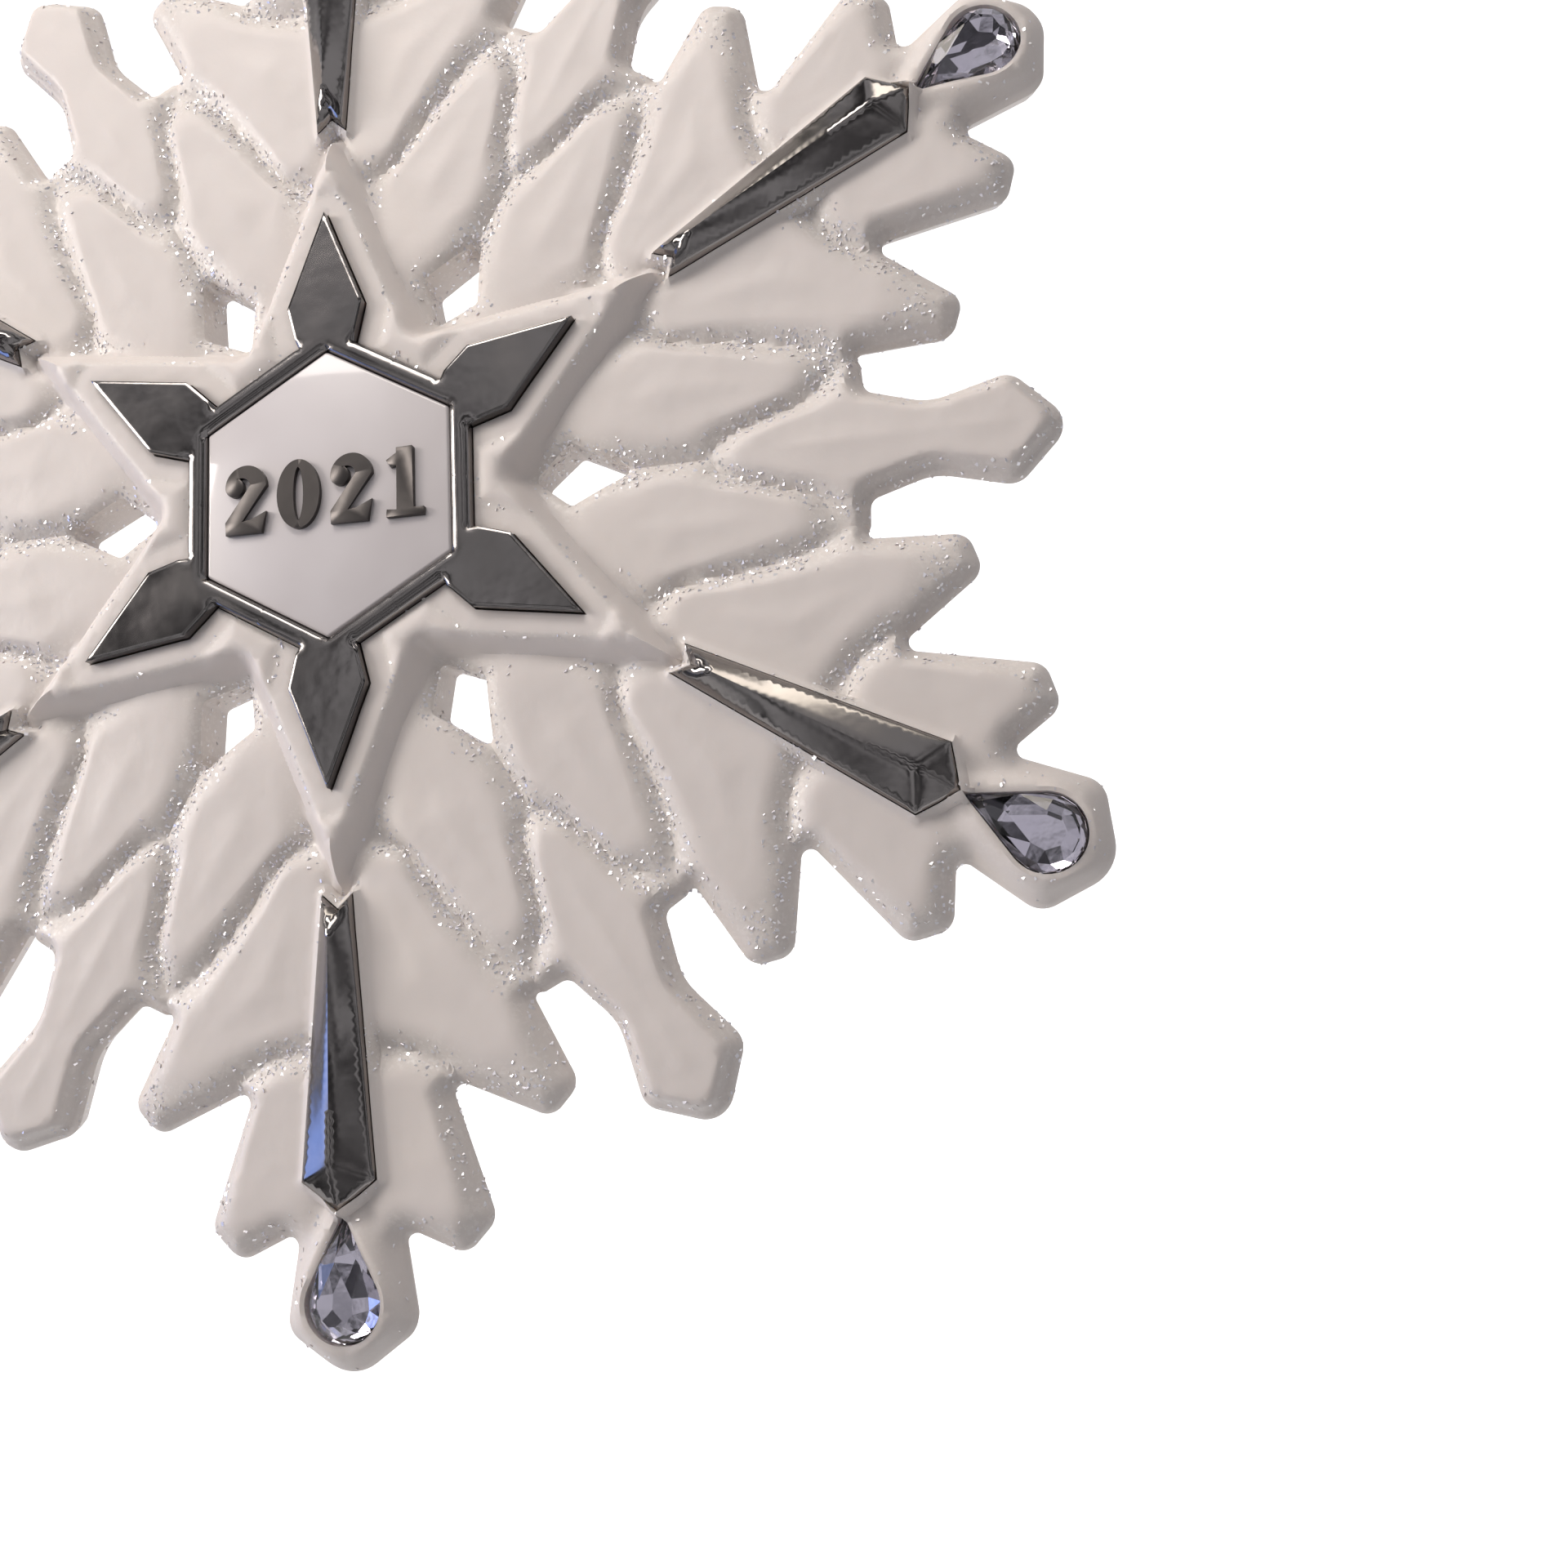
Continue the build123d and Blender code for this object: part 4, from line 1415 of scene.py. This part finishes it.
class MakeMica(bpy.types.Operator):
    """Strew mica flakes in the hollows of the porcelain"""

    bl_idname = "snowflake.mica"
    bl_label = "Mica flakes"

    def execute(self, context):
        look = context.scene.snowflake
        finish = mica_flake(look)
        tree = flake_tree(finish)
        source = bpy.data.objects[BODY + "_surface"]
        carrier = bpy.data.objects.new("mica_carrier", source.data)
        context.scene.collection.objects.link(carrier)
        modifier = carrier.modifiers.new("flakes", "NODES")
        modifier.node_group = tree
        values = {
            "Density": look.flake_density / MM ** 2,
            "Flake radius": look.flake_radius * MM,
            "Thickness": FLAKE_THICKNESS * MM,
            "Tilt": FLAKE_LEAN,
            "Seed": look.seed,
        }
        for name, value in values.items():
            modifier[socket_identifier(tree, name)] = value
        evaluated = carrier.evaluated_get(context.evaluated_depsgraph_get())
        mesh = bpy.data.meshes.new_from_object(evaluated)
        bpy.data.objects.remove(carrier)
        mesh.name = "mica_flakes"
        if not mesh.polygons:
            raise RuntimeError("no mica was strewn")
        made = bpy.data.objects.new("mica_flakes", mesh)
        context.scene.collection.objects.link(made)
        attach(made, "snowflake")
        return {"FINISHED"}


# ---------------------------------------------------------------- stage

# The camera's place and aim, laid flat in mm, its roll in degrees, and its lens and sensor in mm
CAMERA_PLACE = (44.61, -36.84, 95.65)
CAMERA_AIM = (29.3, -21.84, 5.5)
CAMERA_ROLL = -3.114
CAMERA_LENS = 35.55
CAMERA_SENSOR = 36.0


def aimed(place, target, roll=0.0):
    """The matrix of a light or a camera at a place that looks at a target, both laid flat in mm."""
    place, target = STAND @ Vector(place), STAND @ Vector(target)
    turn = (target - place).to_track_quat("-Z", "Y").to_matrix().to_4x4()
    return Matrix.Translation(place) @ turn @ Matrix.Rotation(radians(roll), 4, "Z")


def add_light(name, place, size, power, colour, target=(0, 0, 5)):
    """A soft rectangular light: its place, size and target laid flat in mm, its power in watts."""
    lamp = bpy.data.lights.new(name, "AREA")
    lamp.shape = "RECTANGLE"
    lamp.size, lamp.size_y = size[0] * MM, size[1] * MM
    lamp.energy = power
    lamp.color = srgb(colour)
    made = bpy.data.objects.new(name, lamp)
    bpy.context.scene.collection.objects.link(made)
    made.matrix_world = aimed(place, target)


def add_camera():
    """The camera, close to the front and a little to the right of and below the middle."""
    camera = bpy.data.cameras.new("camera")
    camera.lens = CAMERA_LENS
    camera.sensor_width = CAMERA_SENSOR
    camera.clip_start = 1 * MM
    made = bpy.data.objects.new("camera", camera)
    bpy.context.scene.collection.objects.link(made)
    made.matrix_world = aimed(CAMERA_PLACE, CAMERA_AIM, CAMERA_ROLL)
    bpy.context.scene.camera = made


# The backdrop's width, its bend's radius, and how far it reaches from the centre, in mm
PAPER_WIDTH = 1600
PAPER_BEND = 150
BEND_STEPS = 12
PAPER_BEHIND = -420
PAPER_BELOW = -420
PAPER_ABOVE = 900
PAPER_AHEAD = 120


def add_backdrop(look):
    """A sheet of paper that runs down behind the snowflake and forward under it, with a round bend."""
    profile = [(PAPER_ABOVE, PAPER_BEHIND)]
    for k in range(BEND_STEPS + 1):
        turn = pi / 2 * k / BEND_STEPS
        up = PAPER_BELOW + PAPER_BEND - PAPER_BEND * sin(turn)
        out = PAPER_BEHIND + PAPER_BEND - PAPER_BEND * cos(turn)
        profile.append((up, out))
    profile.append((PAPER_BELOW, PAPER_AHEAD))
    points = [(x, up, out) for up, out in profile for x in (-PAPER_WIDTH / 2, PAPER_WIDTH / 2)]
    faces = [(2 * k, 2 * k + 2, 2 * k + 3, 2 * k + 1) for k in range(len(profile) - 1)]
    paper = piece("backdrop", points, faces, matt_paper(look), sharp=60)


def add_world(context):
    """A grey room with bright patches, which the silver mirrors and the camera sees as plain."""
    world = bpy.data.worlds.new("studio")
    world.use_nodes = True
    tree = world.node_tree
    around = add_node(tree, "ShaderNodeTexCoord").outputs["Generated"]
    patches = add_node(tree, "ShaderNodeTexNoise", {"Vector": around, "Scale": 5.0, "Detail": 1.0})
    strength = add_node(
        tree, "ShaderNodeMapRange",
        {"Value": patches.outputs["Fac"], "From Min": 0.44, "From Max": 0.56, "To Min": 0.12, "To Max": 1.5},
    )
    seen = add_node(tree, "ShaderNodeLightPath").outputs["Is Camera Ray"]
    even = add_node(
        tree, "ShaderNodeMix", {"Factor": seen, NUMBER_A: strength.outputs["Result"], NUMBER_B: 2.4},
    )
    fill(tree, tree.nodes["Background"], {
        "Color": opaque(srgb("#A3A2A5")),
        "Strength": even.outputs[NUMBER_OUT],
    })
    context.scene.world = world


class MakeStage(bpy.types.Operator):
    """Set up the backdrop, the soft lights and the camera"""

    bl_idname = "snowflake.stage"
    bl_label = "Stage"

    def execute(self, context):
        add_backdrop(context.scene.snowflake)
        add_light("key", (-340, 100, 200), (160, 160), 1.0, "#FFF8F2")
        add_light("top", (-50, 185, 150), (160, 80), 0.27, "#FFF8F2")
        add_light("glint_left", (-80, 236, 32), (50, 50), 0.03, "#FFF6E8")
        add_light("glint_right", (76, 228, 42), (50, 60), 0.04, "#FFF6E8")
        add_light("low", (-220, -45, 45), (60, 110), 0.05, "#8FAEFF", (0, -35, 5))
        add_world(context)
        context.scene.view_settings.view_transform = "Standard"
        add_camera()
        return {"FINISHED"}


OPERATORS = [
    MakePorcelain,
    MakeFrame,
    MakeTile,
    MakeSpears,
    MakeNumerals,
    MakeCrystals,
    MakeRing,
    MakeMica,
    MakeStage,
]


class SnowflakePanel(bpy.types.Panel):
    """Every step of the snowflake, in order"""

    bl_idname = "VIEW3D_PT_snowflake"
    bl_label = "Snowflake"
    bl_space_type = "VIEW_3D"
    bl_region_type = "UI"
    bl_category = "Snowflake"

    def draw(self, context):
        for name in SnowflakeLook.__annotations__:
            self.layout.prop(context.scene.snowflake, name)
        for operator in OPERATORS:
            self.layout.operator(operator.bl_idname)


def register():
    """Make the settings, the steps and the panel known."""
    for kind in [SnowflakeLook, *OPERATORS, SnowflakePanel]:
        bpy.utils.register_class(kind)
    bpy.types.Scene.snowflake = PointerProperty(type=SnowflakeLook)


def unregister():
    """Forget them again."""
    del bpy.types.Scene.snowflake
    for kind in [SnowflakePanel, *reversed(OPERATORS), SnowflakeLook]:
        bpy.utils.unregister_class(kind)


def main():
    """Build everything in order."""
    register()
    for operator in OPERATORS:
        group, step = operator.bl_idname.split(".")
        getattr(getattr(bpy.ops, group), step)()


if __name__ == "__main__":
    main()
